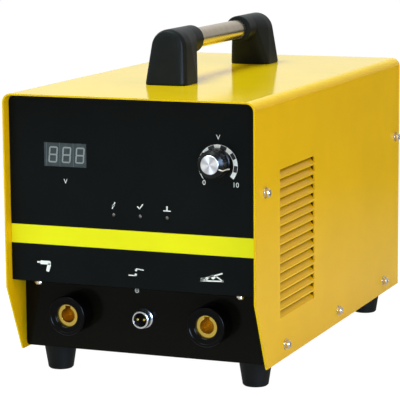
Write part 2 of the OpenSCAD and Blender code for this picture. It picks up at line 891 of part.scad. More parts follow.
// Handle post: a tapering block with an arched outer face that runs back into the collar round the tube
module handle_post() {
    arch_front = arch_lean - post_len / 2;
    head_back = post_lean + post_len / 2;
    corner_x = post_w / 2 - post_corner_r;
    corner_y = post_len / 2 - post_corner_r;
    difference() {
        union() {
            hull() {
                for (sx = [-1, 1], sy = [-1, 1])
                    translate([sx * corner_x, sy * corner_y, 0])
                        cylinder(h = post_base_t, r = post_corner_r, $fn = 48);
                translate([0, head_back, handle_rise]) rotate([90, 0, 0])
                    cylinder(h = post_len / 2, r = collar_r, $fn = 64);
                for (share = arch_shares)
                    translate([0, arch_front + arch_edge * share[0] + arch_len, arch_rise]) rotate([90, 0, 0])
                        cylinder(h = arch_len, r = arch_r - arch_edge * share[1], $fn = 64);
            }
            translate([0, collar_reach, handle_rise]) rotate([90, 0, 0])
                cylinder(h = collar_reach - post_lean, r = collar_r);
        }
        translate([0, collar_reach + over, handle_rise]) rotate([90, 0, 0])
            cylinder(h = tube_seat + over, r = tube_r + fit);
        for (sx = [-1, 1])
            translate([sx * post_screw_x, 0, 0]) hole(screw_r + run_fit, post_screw_len);
    }
}

module handle_front_post() {
    color("#24272a") at_post(0) handle_post();
}

module handle_rear_post() {
    color("#24272a") at_post(1) handle_post();
}

module handle_tube() {
    free = post_pitch - 2 * collar_reach;
    length = free + 2 * (tube_seat - seat);
    color("#b0a490")
        translate([handle_x, fy(handle_mid) + length / 2, cover_top + handle_rise]) rotate([90, 0, 0])
            ring(tube_r, length, tube_r - tube_wall);
}

module handle_screws() {
    color("silver")
        at_post_screws(cover_top - cover_t - washer_t) mirror([0, 0, 1])
            pan_screw(screw_head_r, screw_head_h, screw_r, post_screw_len);
}

// Places a piece on the three indicator lamps, its own Z towards the viewer
module at_lamps(depth) {
    for (i = [-1 : 1]) facing_front(lamp_x + i * lamp_pitch, depth, lamp_z) children();
}

module display_window() {
    color("#3a4145")
        facing_front(display_x, sheet_back, dial_z)
            linear_extrude(panel_t + overlay_t)
                square([display_w - 2 * fit, display_h - 2 * fit], center = true);
    color("#3a4145")
        facing_front(display_x, sheet_back + module_gap - seat, dial_z)
            linear_extrude(module_gap - seat)
                square([display_w + 2 * window_rim, display_h + 2 * window_rim], center = true);
}

module display_module() {
    w = display_w + 2 * module_rim;
    h = display_h + 2 * module_rim;
    depth = standoff_len - module_gap;
    digit_w = display_w / digit_count - digit_gap;
    color("#20262a") facing_front(display_x, board_front, dial_z) {
        linear_extrude(depth - digit_rise) square([w, h], center = true);
        for (i = [0 : digit_count - 1])
            translate([(i - (digit_count - 1) / 2) * display_w / digit_count, 0, 0])
                linear_extrude(depth) square([digit_w, display_h - digit_gap], center = true);
    }
}

// Places a piece on the control board's stand-offs, its own Z towards the viewer
module at_standoffs(depth) {
    for (x = [board_left + board_edge, board_right - board_edge],
         z = [board_low + board_edge, board_high - board_edge])
        facing_front(x, depth, z) children();
}

module control_board() {
    w = board_right - board_left;
    h = board_high - board_low;
    color("darkgreen") difference() {
        union() {
            translate([board_left, fy(board_front), board_low]) cube([w, board_t, h]);
            translate([0, fy(board_front + board_t), board_low + h / 3]) cube([relay_w, relay_h, relay_len]);
            translate([board_left + w / 4, fy(board_front + board_t), board_low + h / 2])
                cube([relay_len, relay_w / 4, relay_w]);
        }
        at_standoffs(board_front) hole(screw_hole_r, over);
    }
}

module board_standoffs() {
    color("lightgray") at_standoffs(board_front) {
        cylinder(h = standoff_len, r = standoff_r);
        translate([0, 0, -board_t]) cylinder(h = board_t + seat, r = screw_r);
        translate([0, 0, -board_t - nut_h]) cylinder(h = nut_h, r = nut_r, $fn = 6);
    }
}

module indicator_lamps() {
    color("#5a2420") at_lamps(panel_set) {
        translate([0, 0, -overlay_t - panel_t - lamp_back])
            cylinder(h = overlay_t + panel_t + lamp_back, r = lamp_r);
        intersection() {
            translate([0, 0, lamp_proud - lamp_r]) sphere(lamp_r);
            cylinder(h = lamp_proud + over, r = lamp_r);
        }
        translate([0, 0, -overlay_t - panel_t - lamp_back]) cylinder(h = lamp_flange_t, r = lamp_flange_r);
        for (sx = [-1, 1])
            translate([sx * lead_gap / 2, 0, panel_set - board_front])
                cylinder(h = board_front - panel_set - overlay_t - panel_t - lamp_back, r = lead_r);
    }
}

module setting_knob() {
    rim = knob_proud - cap_t + cap_sink;
    color("#1c1c1c") facing_front(knob_x, panel_set, dial_z) difference() {
        rotate_extrude()
            polygon([
                [0, knob_gap + knob_pocket_h],
                [knob_pocket_r, knob_gap + knob_pocket_h],
                [knob_pocket_r, knob_gap],
                [skirt_r, knob_gap],
                [skirt_r, knob_gap + skirt_h],
                [grip_r, knob_gap + skirt_h + skirt_blend],
                [grip_r, rim - knob_chamfer],
                [cap_r + cap_lip, rim],
                [0, rim]
            ]);
        for (i = [0 : flute_count - 1])
            rotate([0, 0, i * 360 / flute_count])
                translate([grip_r + flute_r * flute_out_share, 0, knob_gap + skirt_h + skirt_blend + flute_r])
                    cylinder(h = knob_proud, r = flute_r);
        translate([0, 0, rim - cap_sink]) cylinder(h = over, r = cap_r + run_fit);
        cylinder(h = knob_gap + knob_pocket_h + shaft_in_knob, r = shaft_r + run_fit);
    }
}

module knob_cap() {
    color("#c9ccd0") facing_front(knob_x, panel_set, dial_z)
        translate([0, 0, knob_proud - cap_t]) rotate_extrude()
            polygon([[0, 0], [cap_r, 0], [cap_r, cap_t - cap_edge], [cap_r - cap_edge, cap_t], [0, cap_t]]);
}

module pot_shaft() {
    back = overlay_t + panel_t + shaft_in_pot;
    color("silver") facing_front(knob_x, panel_set, dial_z)
        translate([0, 0, -back])
            cylinder(h = back + knob_gap + knob_pocket_h + shaft_in_knob - fit, r = shaft_r);
}

module pot_body() {
    seat_depth = overlay_t + panel_t;
    color("#4c5a4a") facing_front(knob_x, panel_set, dial_z) difference() {
        union() {
            translate([0, 0, -seat_depth - pot_len]) cylinder(h = pot_len, r = pot_r);
            translate([0, 0, -seat_depth]) cylinder(h = seat_depth + bushing_len, r = bushing_r);
        }
        translate([0, 0, -seat_depth - shaft_in_pot - fit])
            cylinder(h = seat_depth + shaft_in_pot + bushing_len + over, r = shaft_r + run_fit);
    }
}

module pot_nut() {
    color("silver") facing_front(knob_x, panel_set, dial_z)
        hex_nut(pot_nut_r, pot_nut_h, bushing_r + run_fit);
}

// Insulating body of a weld socket, its seat on the panel at zero
module socket_body() {
    difference() {
        union() {
            cylinder(h = socket_proud - socket_chamfer, r = socket_r);
            translate([0, 0, socket_proud - socket_chamfer])
                cylinder(h = socket_chamfer, r1 = socket_r, r2 = socket_r - socket_chamfer);
            translate([0, 0, -bush_len]) cylinder(h = bush_len, r = bush_r);
        }
        hole(insert_r + run_fit, socket_proud + bush_len);
    }
}

// Brass insert of a weld socket with its keyed bore and its stud
module socket_insert() {
    front = socket_proud - insert_sink;
    difference() {
        union() {
            translate([0, 0, -insert_back]) cylinder(h = insert_back + front, r = insert_r);
            translate([0, 0, -insert_back - stud_len]) cylinder(h = stud_len, r = stud_r);
        }
        translate([0, 0, front - plug_bore_len]) cylinder(h = plug_bore_len + over, r = plug_bore_r);
        translate([-key_w / 2, 0, front - plug_bore_len])
            cube([key_w, plug_bore_r + key_h, plug_bore_len + over]);
    }
}

module left_socket_body() {
    color("#141414") facing_front(-socket_x, socket_set, socket_z) socket_body();
}

module right_socket_body() {
    color("#141414") facing_front(socket_x, socket_set, socket_z) socket_body();
}

module left_socket_insert() {
    color("#c8ab45") facing_front(-socket_x, socket_set, socket_z) socket_insert();
}

module right_socket_insert() {
    color("#c8ab45") facing_front(socket_x, socket_set, socket_z) socket_insert();
}

module socket_ring_nuts() {
    color("#2a2a2a")
        for (sx = [-1, 1])
            facing_front(sx * socket_x, socket_set + socket_panel_t + ring_nut_h, socket_z)
                ring(ring_nut_r, ring_nut_h, bush_r + run_fit);
}

module socket_stud_nuts() {
    color("#b5a04a")
        for (sx = [-1, 1])
            facing_front(sx * socket_x, strap_depth + copper_t + stud_nut_h, socket_z)
                hex_nut(stud_nut_r, stud_nut_h, stud_r + run_fit);
}

module connector_shell() {
    color("#cfd2d6") facing_front(0, socket_set, connector_z) difference() {
        union() {
            translate([0, 0, -connector_back])
                cylinder(h = connector_back + connector_proud, r = connector_r);
            cylinder(h = connector_flange_t, r = connector_flange_r);
        }
        hole(connector_r - connector_wall, connector_back + connector_proud);
    }
}

module connector_insert() {
    front = connector_proud - connector_face_sink;
    color("#191919") facing_front(0, socket_set, connector_z) difference() {
        translate([0, 0, -connector_back])
            cylinder(h = connector_back + front, r = connector_r - connector_wall - run_fit);
        for (sx = [-1, 1]) translate([sx * pin_gap, 0, 0]) hole(pin_r + run_fit, connector_back + over);
    }
}

module connector_pins() {
    front = connector_proud - connector_face_sink;
    color("#d9c27a") facing_front(0, socket_set, connector_z)
        for (sx = [-1, 1])
            translate([sx * pin_gap, 0, -connector_back - pin_back])
                cylinder(h = pin_back + connector_back + front + pin_proud, r = pin_r);
}

module connector_nut() {
    color("#b9bcc0") facing_front(0, socket_set + socket_panel_t + connector_nut_h, connector_z)
        hex_nut(connector_nut_r, connector_nut_h, connector_r + run_fit);
}

// Puts a piece on the middle of every can, its own Z upwards from the pan
module at_cans() {
    for (sign = can_signs)
        translate([sign[0] * can_pitch / 2, fy(bank_depth) + sign[1] * can_pitch / 2, pan_top])
            children();
}

module capacitor_cans() {
    color("#2c3f66") at_cans() difference() {
        union() {
            cylinder(h = can_h - can_rim_h, r = can_r);
            translate([0, 0, can_h - can_rim_h]) cylinder(h = can_rim_h, r = can_r - can_rim);
            for (sx = [-1, 1])
                translate([sx * can_terminal_x, 0, can_h]) cylinder(h = can_terminal_h, r = can_terminal_r);
        }
        for (sx = [-1, 1])
            translate([sx * can_terminal_x, 0, can_h + can_terminal_h])
                hole(terminal_screw_r + run_fit, terminal_screw_len);
    }
}

module can_board() {
    post = bank_half - can_post_r;
    color("#8a7a4c") difference() {
        union() {
            translate([-bank_half, fy(bank_depth) - bank_half, pan_top + can_board_rise])
                cube([2 * bank_half, 2 * bank_half, can_board_t]);
            for (sx = [-1, 1], sy = [-1, 1])
                translate([sx * post, fy(bank_depth) + sy * post, pan_top])
                    cylinder(h = can_board_rise, r = can_post_r);
        }
        at_cans() cylinder(h = can_h, r = can_r + can_gap);
    }
}

// Places a piece on the inner (1) or outer (-1) terminals of all cans
module at_terminals(inner) {
    for (sign = can_signs)
        translate([sign[0] * (can_pitch / 2 - inner * can_terminal_x),
                   fy(bank_depth) + sign[1] * can_pitch / 2, bus_z])
            children();
}

module positive_bus() {
    length = can_pitch + 2 * bus_margin;
    color("#b87333") difference() {
        translate([-inner_bus_half, fy(bank_depth) - length / 2, bus_z])
            cube([2 * inner_bus_half, length, bus_t]);
        at_terminals(1) hole(terminal_screw_r + fit, over);
    }
}

module negative_bus() {
    length = can_pitch + 2 * bus_margin;
    bar = outer_bus_out - outer_bus_in;
    color("#b87333") difference() {
        union() {
            for (side = [0, 1])
                mirror([side, 0, 0])
                    translate([outer_bus_in, fy(bank_depth) - length / 2, bus_z])
                        cube([bar, length + bus_tail, bus_t]);
            translate([-outer_bus_out, fy(bank_depth) + length / 2 + bus_tail - bar, bus_z])
                cube([2 * outer_bus_out, bar, bus_t]);
        }
        at_terminals(-1) hole(terminal_screw_r + fit, over);
    }
}

module terminal_screws() {
    color("silver")
        for (inner = [-1, 1])
            at_terminals(inner) translate([0, 0, bus_t])
                pan_screw(terminal_head_r, terminal_head_h, terminal_screw_r, terminal_screw_len);
}

module transformer_core() {
    leg = core_w * core_leg_share;
    window_w = (core_w - leg) / 4;
    window_h = core_h * core_window_share;
    color("#5a5550") along_y(core_depth - core_len / 2, core_len) translate([core_x, pan_top]) difference() {
        translate([-core_w / 2, 0]) square([core_w, core_h]);
        for (sx = [-1, 1])
            translate([sx * (leg + window_w) / 2 - window_w / 2, (core_h - window_h) / 2])
                square([window_w, window_h]);
    }
}

module transformer_winding() {
    leg = core_w * core_leg_share;
    window_w = (core_w - leg) / 4;
    window_h = core_h * core_window_share;
    h = window_h - 2 * winding_gap;
    color("#9a3b1c")
        translate([core_x, fy(core_depth), pan_top + core_h / 2 - h / 2]) linear_extrude(h) difference() {
            round_rect(leg + 2 * window_w - 2 * winding_gap, core_len + 2 * winding_out, winding_out / 2);
            square([leg + 2 * winding_gap, core_len + 2 * winding_gap], center = true);
        }
}

module transformer_strap() {
    half = core_w / 2 + seat;
    color("lightgray") along_y(core_depth - clamp_l / 2, clamp_l) translate([core_x, pan_top]) difference() {
        union() {
            translate([-half - clamp_t, 0]) square([2 * half + 2 * clamp_t, core_h + seat + clamp_t]);
            translate([-half - clamp_t - clamp_foot, 0])
                square([2 * (half + clamp_t + clamp_foot), clamp_t]);
        }
        translate([-half, -over]) square([2 * half, core_h + seat + over]);
    }
}

module heat_sink() {
    fin_pitch = (sink_h - sink_foot - sink_fin_t) / (sink_fin_count - 1);
    color("#9da3a8") along_y(sink_depth - sink_len / 2, sink_len) translate([sink_x, pan_top]) {
        square([sink_base, sink_h]);
        square([sink_base + sink_fin, sink_base]);
        for (i = [0 : sink_fin_count - 1])
            translate([0, sink_foot + i * fin_pitch]) square([sink_base + sink_fin, sink_fin_t]);
    }
}

module discharge_thyristor() {
    color("#2b2b30") {
        translate([sink_x - thyristor_out, fy(sink_depth) - thyristor_len / 2, thyristor_z - thyristor_h / 2])
            cube([thyristor_out, thyristor_len, thyristor_h]);
        for (sy = [-1, 1])
            translate([sink_x - thyristor_out, fy(sink_depth) + sy * thyristor_terminal, thyristor_z])
                rotate([0, -90, 0]) cylinder(h = thyristor_boss_h, r = thyristor_boss_r);
    }
}

module charging_bridge() {
    z = thyristor_z + thyristor_h / 2 + bridge_gap;
    color("#3a3a3a") difference() {
        translate([sink_x - bridge_t, fy(sink_depth) - bridge_side / 2, z])
            cube([bridge_t, bridge_side, bridge_side]);
        translate([sink_x, fy(sink_depth), z + bridge_side / 2]) rotate([0, 90, 0])
            hole(bridge_hole_r, 2 * over);
    }
}

// Copper strap from the bank's negative bar down and forward to the left socket
module gun_strap() {
    low = socket_z - strap_w / 2;
    tab_end = -socket_x + strap_w / 2;
    tab_w = strap_w - 2 * bend_relief;
    color("#b87333") difference() {
        union() {
            translate([gun_strap_x, fy(strap_depth), low]) cube([tab_end - gun_strap_x, copper_t, strap_w]);
            along_x(gun_strap_x, copper_t)
                polygon([
                    [strap_depth, low],
                    [gun_riser_mid + strap_w / 2, low],
                    [gun_riser_mid + strap_w / 2, top_tab_z + copper_t],
                    [gun_riser_mid - strap_w / 2, top_tab_z + copper_t],
                    [gun_riser_mid - strap_w / 2, low + strap_w],
                    [strap_depth, low + strap_w]
                ]);
            translate([gun_strap_x + copper_t / 2, fy(gun_riser_mid) - tab_w / 2, top_tab_z])
                cube([-outer_bus_in - gun_strap_x - copper_t / 2, tab_w, copper_t]);
        }
        facing_front(-socket_x, strap_depth, socket_z) hole(stud_r + fit, over);
    }
}

// Copper strap from the thyristor's front terminal to the right socket
module clamp_strap() {
    low = socket_z - strap_w / 2;
    x = strap_x - copper_t;
    riser = sink_depth - thyristor_terminal;
    color("#b87333") difference() {
        union() {
            translate([x, fy(strap_depth), low])
                cube([socket_x + strap_w / 2 - x, copper_t, strap_w]);
            along_x(x, copper_t)
                polygon([
                    [strap_depth, low],
                    [riser + strap_w / 2, low],
                    [riser + strap_w / 2, thyristor_z + strap_w / 2],
                    [riser - strap_w / 2, thyristor_z + strap_w / 2],
                    [riser - strap_w / 2, low + strap_w],
                    [strap_depth, low + strap_w]
                ]);
        }
        facing_front(socket_x, strap_depth, socket_z) hole(stud_r + fit, over);
        translate([x, fy(riser), thyristor_z]) rotate([0, 90, 0]) hole(bolt_hole_r, over);
    }
}

// Copper link from the bank's positive bar to the thyristor's rear terminal
module bank_link() {
    x = strap_x - copper_t;
    riser = sink_depth + thyristor_terminal;
    reach = bank_depth - can_pitch / 2 - bus_margin + link_overlap;
    color("#b87333") difference() {
        union() {
            translate([x, fy(riser) - strap_w / 2, thyristor_z - strap_w / 2])
                cube([copper_t, strap_w, top_tab_z + copper_t - thyristor_z + strap_w / 2]);
            translate([-strap_w / 2, fy(riser) - strap_w / 2, top_tab_z])
                cube([x + copper_t + strap_w / 2, strap_w, copper_t]);
            translate([-strap_w / 2, fy(riser) - strap_w / 2, top_tab_z])
                cube([strap_w, reach - riser + strap_w / 2, copper_t]);
        }
        translate([x, fy(riser), thyristor_z]) rotate([0, 90, 0]) hole(bolt_hole_r, over);
    }
}

module power_board() {
    z = pan_top + power_board_lift;
    post_x = power_board_w / 2 - board_edge;
    post_y = power_board_len / 2 - board_edge;
    color("darkgreen") translate([power_board_x, fy(power_board_mid), 0]) {
        translate([-power_board_w / 2, -power_board_len / 2, z])
            cube([power_board_w, power_board_len, board_t]);
        for (sx = [-1, 1], sy = [-1, 1])
            translate([sx * post_x, sy * post_y, pan_top]) cylinder(h = power_board_lift, r = standoff_r);
        translate([-power_board_w / 4, -relay_len / 2, z + board_t]) cube([relay_w, relay_len, relay_h]);
        translate([relay_w / 4, -resistor_len / 2, z + board_t]) cube([resistor_w, resistor_len, resistor_h]);
    }
}

// Places a piece on the fan's four corner screws, its own Z backwards
module at_fan_screws() {
    for (sx = [-1, 1], sz = [-1, 1])
        facing_rear(fan_x + sx * fan_hole_pitch / 2, rear_face, fan_z + sz * fan_hole_pitch / 2) children();
}

// Places a piece on the inlet's two screws, its own Z backwards
module at_inlet_screws() {
    for (sx = [-1, 1]) facing_rear(fitting_x + sx * inlet_screw_x, rear_face, inlet_z) children();
}

module fan_frame() {
    strut_len = fan_bore_r + fan_wall / 2 - fan_hub_r + fan_strut_w;
    color("#1a1a1a") difference() {
        facing_rear(fan_x, fan_front, fan_z) {
            for (z = [0, fan_depth - fan_flange_t])
                translate([0, 0, z]) linear_extrude(fan_flange_t) difference() {
                    round_rect(fan_size, fan_size, fan_corner_r);
                    circle(fan_bore_r);
                }
            ring(fan_size / 2, fan_depth, fan_bore_r);
            ring(fan_hub_r, fan_hub_t, fan_spindle_r + run_fit);
            ring(fan_boss_r, fan_boss_h, fan_spindle_r + run_fit);
            for (turn = [45 : 90 : 315])
                rotate([0, 0, turn]) translate([fan_hub_r - fan_strut_w, -fan_strut_w / 2, 0])
                    cube([strut_len, fan_strut_w, fan_hub_t]);
        }
        at_fan_screws() hole(screw_r + run_fit, fan_depth + 2 * over);
    }
}

module fan_rotor() {
    floor_z = fan_boss_h + rotor_gap;
    length = fan_depth - floor_z - rotor_gap;
    tip_r = fan_bore_r - rotor_tip_gap;
    color("#262626") facing_rear(fan_x, fan_front, fan_z) {
        translate([0, 0, floor_z]) cylinder(h = length, r = fan_hub_r);
        translate([0, 0, seat]) cylinder(h = floor_z, r = fan_spindle_r);
        intersection() {
            for (i = [0 : fan_blades - 1])
                rotate([0, 0, i * 360 / fan_blades])
                    translate([tip_r / 2, 0, floor_z + length / 2]) rotate([blade_angle, 0, 0])
                        cube([tip_r + over, blade_chord, blade_t], center = true);
            translate([0, 0, floor_z]) ring(tip_r, length, fan_hub_r - blade_t);
        }
    }
}

module fan_guard() {
    step = (fan_bore_r - guard_first_r) / (guard_ring_count - 1);
    reach = fan_hole_pitch / sqrt(2);
    color("#c4c7ca") facing_rear(fan_x, rear_face, fan_z) difference() {
        union() {
            for (i = [0 : guard_ring_count - 1])
                translate([0, 0, guard_wire_r]) rotate_extrude()
                    translate([guard_first_r + i * step, 0]) circle(guard_wire_r, $fn = 24);
            for (turn = [45 : 90 : 315]) rotate([0, 0, turn]) {
                translate([guard_first_r, 0, 2 * guard_wire_r]) rotate([0, 90, 0])
                    cylinder(h = reach - guard_first_r, r = guard_wire_r, $fn = 24);
                translate([reach, 0, 0]) cylinder(h = 2 * guard_wire_r, r = guard_ear_r);
            }
        }
        for (sx = [-1, 1], sy = [-1, 1])
            translate([sx * fan_hole_pitch / 2, sy * fan_hole_pitch / 2, 0]) {
                hole(screw_hole_r, 2 * over);
                translate([0, 0, 2 * guard_wire_r]) cylinder(h = over, r = screw_head_r + fit);
            }
    }
}

module rear_screws() {
    color("silver") {
        at_fan_screws() translate([0, 0, 2 * guard_wire_r])
            pan_screw(screw_head_r, screw_head_h, screw_r, fan_screw_len);
        at_inlet_screws() translate([0, 0, inlet_flange_t])
            pan_screw(screw_head_r, screw_head_h, screw_r, screw_len);
    }
}

// Inner size of the switch's mouth, and the height of the rocker's pivot behind the panel's face
rocker_mouth_w = switch_w - 2 * bezel_lip - 2 * switch_body_wall;
rocker_mouth_h = switch_h - 2 * bezel_lip - 2 * switch_body_wall;
rocker_half_h = rocker_mouth_h / 2 - rocker_room;
rocker_w = rocker_mouth_w - rocker_room;
rocker_pivot = rear_face - bezel_t / 2;

module switch_body() {
    w = switch_w - 2 * bezel_lip;
    h = switch_h - 2 * bezel_lip;
    cavity = switch_body_depth - 2 * switch_body_wall;
    color("#101010") difference() {
        facing_rear(fitting_x, rear_face, switch_z) {
            linear_extrude(bezel_t) round_rect(switch_w, switch_h, bezel_lip / 2);
            translate([0, 0, -switch_body_depth]) linear_extrude(switch_body_depth)
                square([w, h], center = true);
        }
        facing_rear(fitting_x, rear_face, switch_z)
            translate([-rocker_mouth_w / 2, -rocker_mouth_h / 2, -cavity])
                cube([rocker_mouth_w, rocker_mouth_h, cavity + bezel_t + over]);
        translate([fitting_x, fy(rocker_pivot), switch_z]) rotate([0, 90, 0])
            hole(rocker_pin_r + run_fit, rocker_mouth_w / 2 + rocker_pin_len);
    }
}

module power_rocker() {
    back_h = rocker_half_h * rocker_back_h_share;
    pin_span = rocker_mouth_w + 2 * rocker_pin_len - 2 * fit;
    color("#b3201a") translate([fitting_x, fy(rocker_pivot), switch_z]) {
        rotate([-rocker_swing / 2, 0, 0]) translate([-rocker_w / 2, 0, 0])
            rotate([90, 0, 90]) linear_extrude(rocker_w)
                polygon([
                    [0, -rocker_half_h],
                    [rocker_tip_out, -rocker_half_h],
                    [rocker_mid_out, 0],
                    [rocker_tip_out, rocker_half_h],
                    [0, rocker_half_h],
                    [-rocker_back_in, back_h],
                    [-rocker_back_in, -back_h]
                ]);
        translate([-pin_span / 2, 0, 0]) rotate([0, 90, 0]) cylinder(h = pin_span, r = rocker_pin_r);
    }
}

// Outline of the inlet's recess: a rectangle with its two upper corners cut
module inlet_outline(w, h, key) {
    polygon([
        [-w / 2, h / 2],
        [w / 2, h / 2],
        [w / 2, key - h / 2],
        [w / 2 - key, -h / 2],
        [key - w / 2, -h / 2],
        [-w / 2, key - h / 2]
    ]);
}

// Middles of the inlet's three pins, sideways and up
inlet_pins_at = [[-blade_pin_x, blade_pin_low], [blade_pin_x, blade_pin_low], [0, blade_pin_high]];

module mains_inlet() {
    color("#151515") difference() {
        facing_rear(fitting_x, rear_face, inlet_z) {
            linear_extrude(inlet_flange_t) round_rect(inlet_w, inlet_h, inlet_key);
            translate([0, 0, -inlet_body_depth]) linear_extrude(inlet_body_depth)
                square([inlet_body_w, inlet_body_h], center = true);
        }
        facing_rear(fitting_x, rear_face, inlet_z)
            translate([0, 0, inlet_flange_t - inlet_recess_depth]) linear_extrude(inlet_recess_depth + over)
                inlet_outline(inlet_recess_w, inlet_recess_h, inlet_key);
        at_inlet_screws() hole(screw_hole_r, 2 * over);
        at_inlet_pins() translate([-blade_pin_w / 2 - fit, -blade_pin_h / 2 - fit, -inlet_body_depth - over])
            cube([blade_pin_w + 2 * fit, blade_pin_h + 2 * fit, inlet_body_depth]);
    }
}

// Places a piece on the inlet's pins, its own Z backwards from the rear panel's face
module at_inlet_pins() {
    for (place = inlet_pins_at) facing_rear(fitting_x + place[0], rear_face, inlet_z + place[1]) children();
}

module inlet_pins() {
    floor_z = inlet_flange_t - inlet_recess_depth;
    back = -inlet_body_depth - blade_pin_tail;
    color("#d8c68a") at_inlet_pins() translate([-blade_pin_w / 2, -blade_pin_h / 2, back])
        cube([blade_pin_w, blade_pin_h, floor_z + blade_pin_len - back]);
}

module earth_stud() {
    back = panel_t + earth_nut_h + earth_head_h;
    color("#c9b46a") facing_rear(fitting_x, rear_face, earth_z) {
        difference() {
            translate([0, 0, -back]) cylinder(h = back + earth_proud, r = earth_r);
            translate([0, 0, earth_nut_h]) ring(earth_nut_r, earth_relief, earth_r * earth_relief_share);
        }
        translate([0, 0, -back]) cylinder(h = earth_head_h, r = earth_nut_r, $fn = 6);
    }
}

module earth_nuts() {
    color("#b9a45c") facing_rear(fitting_x, rear_face, earth_z)
        for (z = [-panel_t - earth_nut_h, 0])
            translate([0, 0, z]) hex_nut(earth_nut_r, earth_nut_h, earth_r + run_fit);
}

top_cover();
chassis_pan();
front_panel();
front_overlay();
socket_panel();
rear_panel();
case_screws();
case_washers();
case_nuts();
rubber_feet();
foot_screws();
handle_front_post();
handle_rear_post();
handle_tube();
handle_screws();
display_window();
display_module();
control_board();
board_standoffs();
indicator_lamps();
setting_knob();
knob_cap();
pot_shaft();
pot_body();
pot_nut();
left_socket_body();
right_socket_body();
left_socket_insert();
right_socket_insert();
socket_ring_nuts();
socket_stud_nuts();
connector_shell();
connector_insert();
connector_pins();
connector_nut();
capacitor_cans();
can_board();
positive_bus();
negative_bus();
terminal_screws();
transformer_core();
transformer_winding();
transformer_strap();
heat_sink();
discharge_thyristor();
charging_bridge();
gun_strap();
clamp_strap();
bank_link();
power_board();
fan_frame();
fan_rotor();
fan_guard();
rear_screws();
switch_body();
power_rocker();
mains_inlet();
inlet_pins();
earth_stud();
earth_nuts();
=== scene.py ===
import json
import math

import bmesh
import bpy
from bpy.props import FloatProperty, FloatVectorProperty, PointerProperty
from mathutils import Euler, Matrix, Vector


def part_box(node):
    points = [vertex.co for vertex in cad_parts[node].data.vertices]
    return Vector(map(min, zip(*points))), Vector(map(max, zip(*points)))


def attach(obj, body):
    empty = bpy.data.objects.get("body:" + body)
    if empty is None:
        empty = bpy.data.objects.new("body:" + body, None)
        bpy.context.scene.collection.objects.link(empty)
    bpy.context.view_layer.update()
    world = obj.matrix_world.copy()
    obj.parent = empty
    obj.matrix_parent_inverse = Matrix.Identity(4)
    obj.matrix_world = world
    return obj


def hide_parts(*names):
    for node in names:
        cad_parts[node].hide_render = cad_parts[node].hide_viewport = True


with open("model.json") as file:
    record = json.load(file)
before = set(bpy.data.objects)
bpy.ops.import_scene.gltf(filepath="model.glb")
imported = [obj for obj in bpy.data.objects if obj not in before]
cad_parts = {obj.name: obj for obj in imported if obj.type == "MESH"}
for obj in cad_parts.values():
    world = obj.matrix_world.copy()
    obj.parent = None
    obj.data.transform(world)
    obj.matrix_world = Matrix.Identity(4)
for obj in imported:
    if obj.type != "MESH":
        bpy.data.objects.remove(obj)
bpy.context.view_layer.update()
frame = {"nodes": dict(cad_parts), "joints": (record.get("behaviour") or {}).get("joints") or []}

bl_info = {
    "name": "Stud welder finishes",
    "version": (1, 0, 0),
    "blender": (4, 5, 0),
    "location": "View3D > Sidebar > Stud welder",
    "description": "Dresses the packed stud welder with its finishes, mouldings and printed marks",
    "category": "Object",
}

MM = 0.001


def middle(name):
    """Middle of a CAD node's box."""
    low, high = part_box(name)
    return (low + high) / 2


def linear(code):
    """Turns an sRGB hex colour into the linear values that shaders use."""
    shares = [int(code[i:i + 2], 16) / 255 for i in (1, 3, 5)]
    return tuple(s / 12.92 if s <= 0.04045 else ((s + 0.055) / 1.055) ** 2.4 for s in shares)


# Places that the frame gives: the printed face, the knob, the lamps, the display, the handle and the cover's top
PRINT_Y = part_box("front_overlay")[0].y
KNOB = middle("knob_cap")
LAMPS = middle("indicator_lamps")
WINDOW = middle("display_window")
TUBE = middle("handle_tube")
COVER_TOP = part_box("top_cover")[1].z


def size(label, words, default):
    """A length that a user may change, given in millimetres."""
    return FloatProperty(name=label, description=words, default=default * MM, unit="LENGTH", min=0)


def tint(label, words, code):
    """A colour that a user may change, given as sRGB hex."""
    return FloatVectorProperty(name=label, description=words, subtype="COLOR", size=3, min=0, max=1,
                               default=linear(code))


def angle(label, words, default):
    """An angle that a user may change, given in degrees."""
    return FloatProperty(name=label, description=words, default=math.radians(default), subtype="ANGLE")


def power(label, words, default):
    """A lamp's power that a user may change, given in watts."""
    return FloatProperty(name=label, description=words, default=default, unit="POWER", min=0)


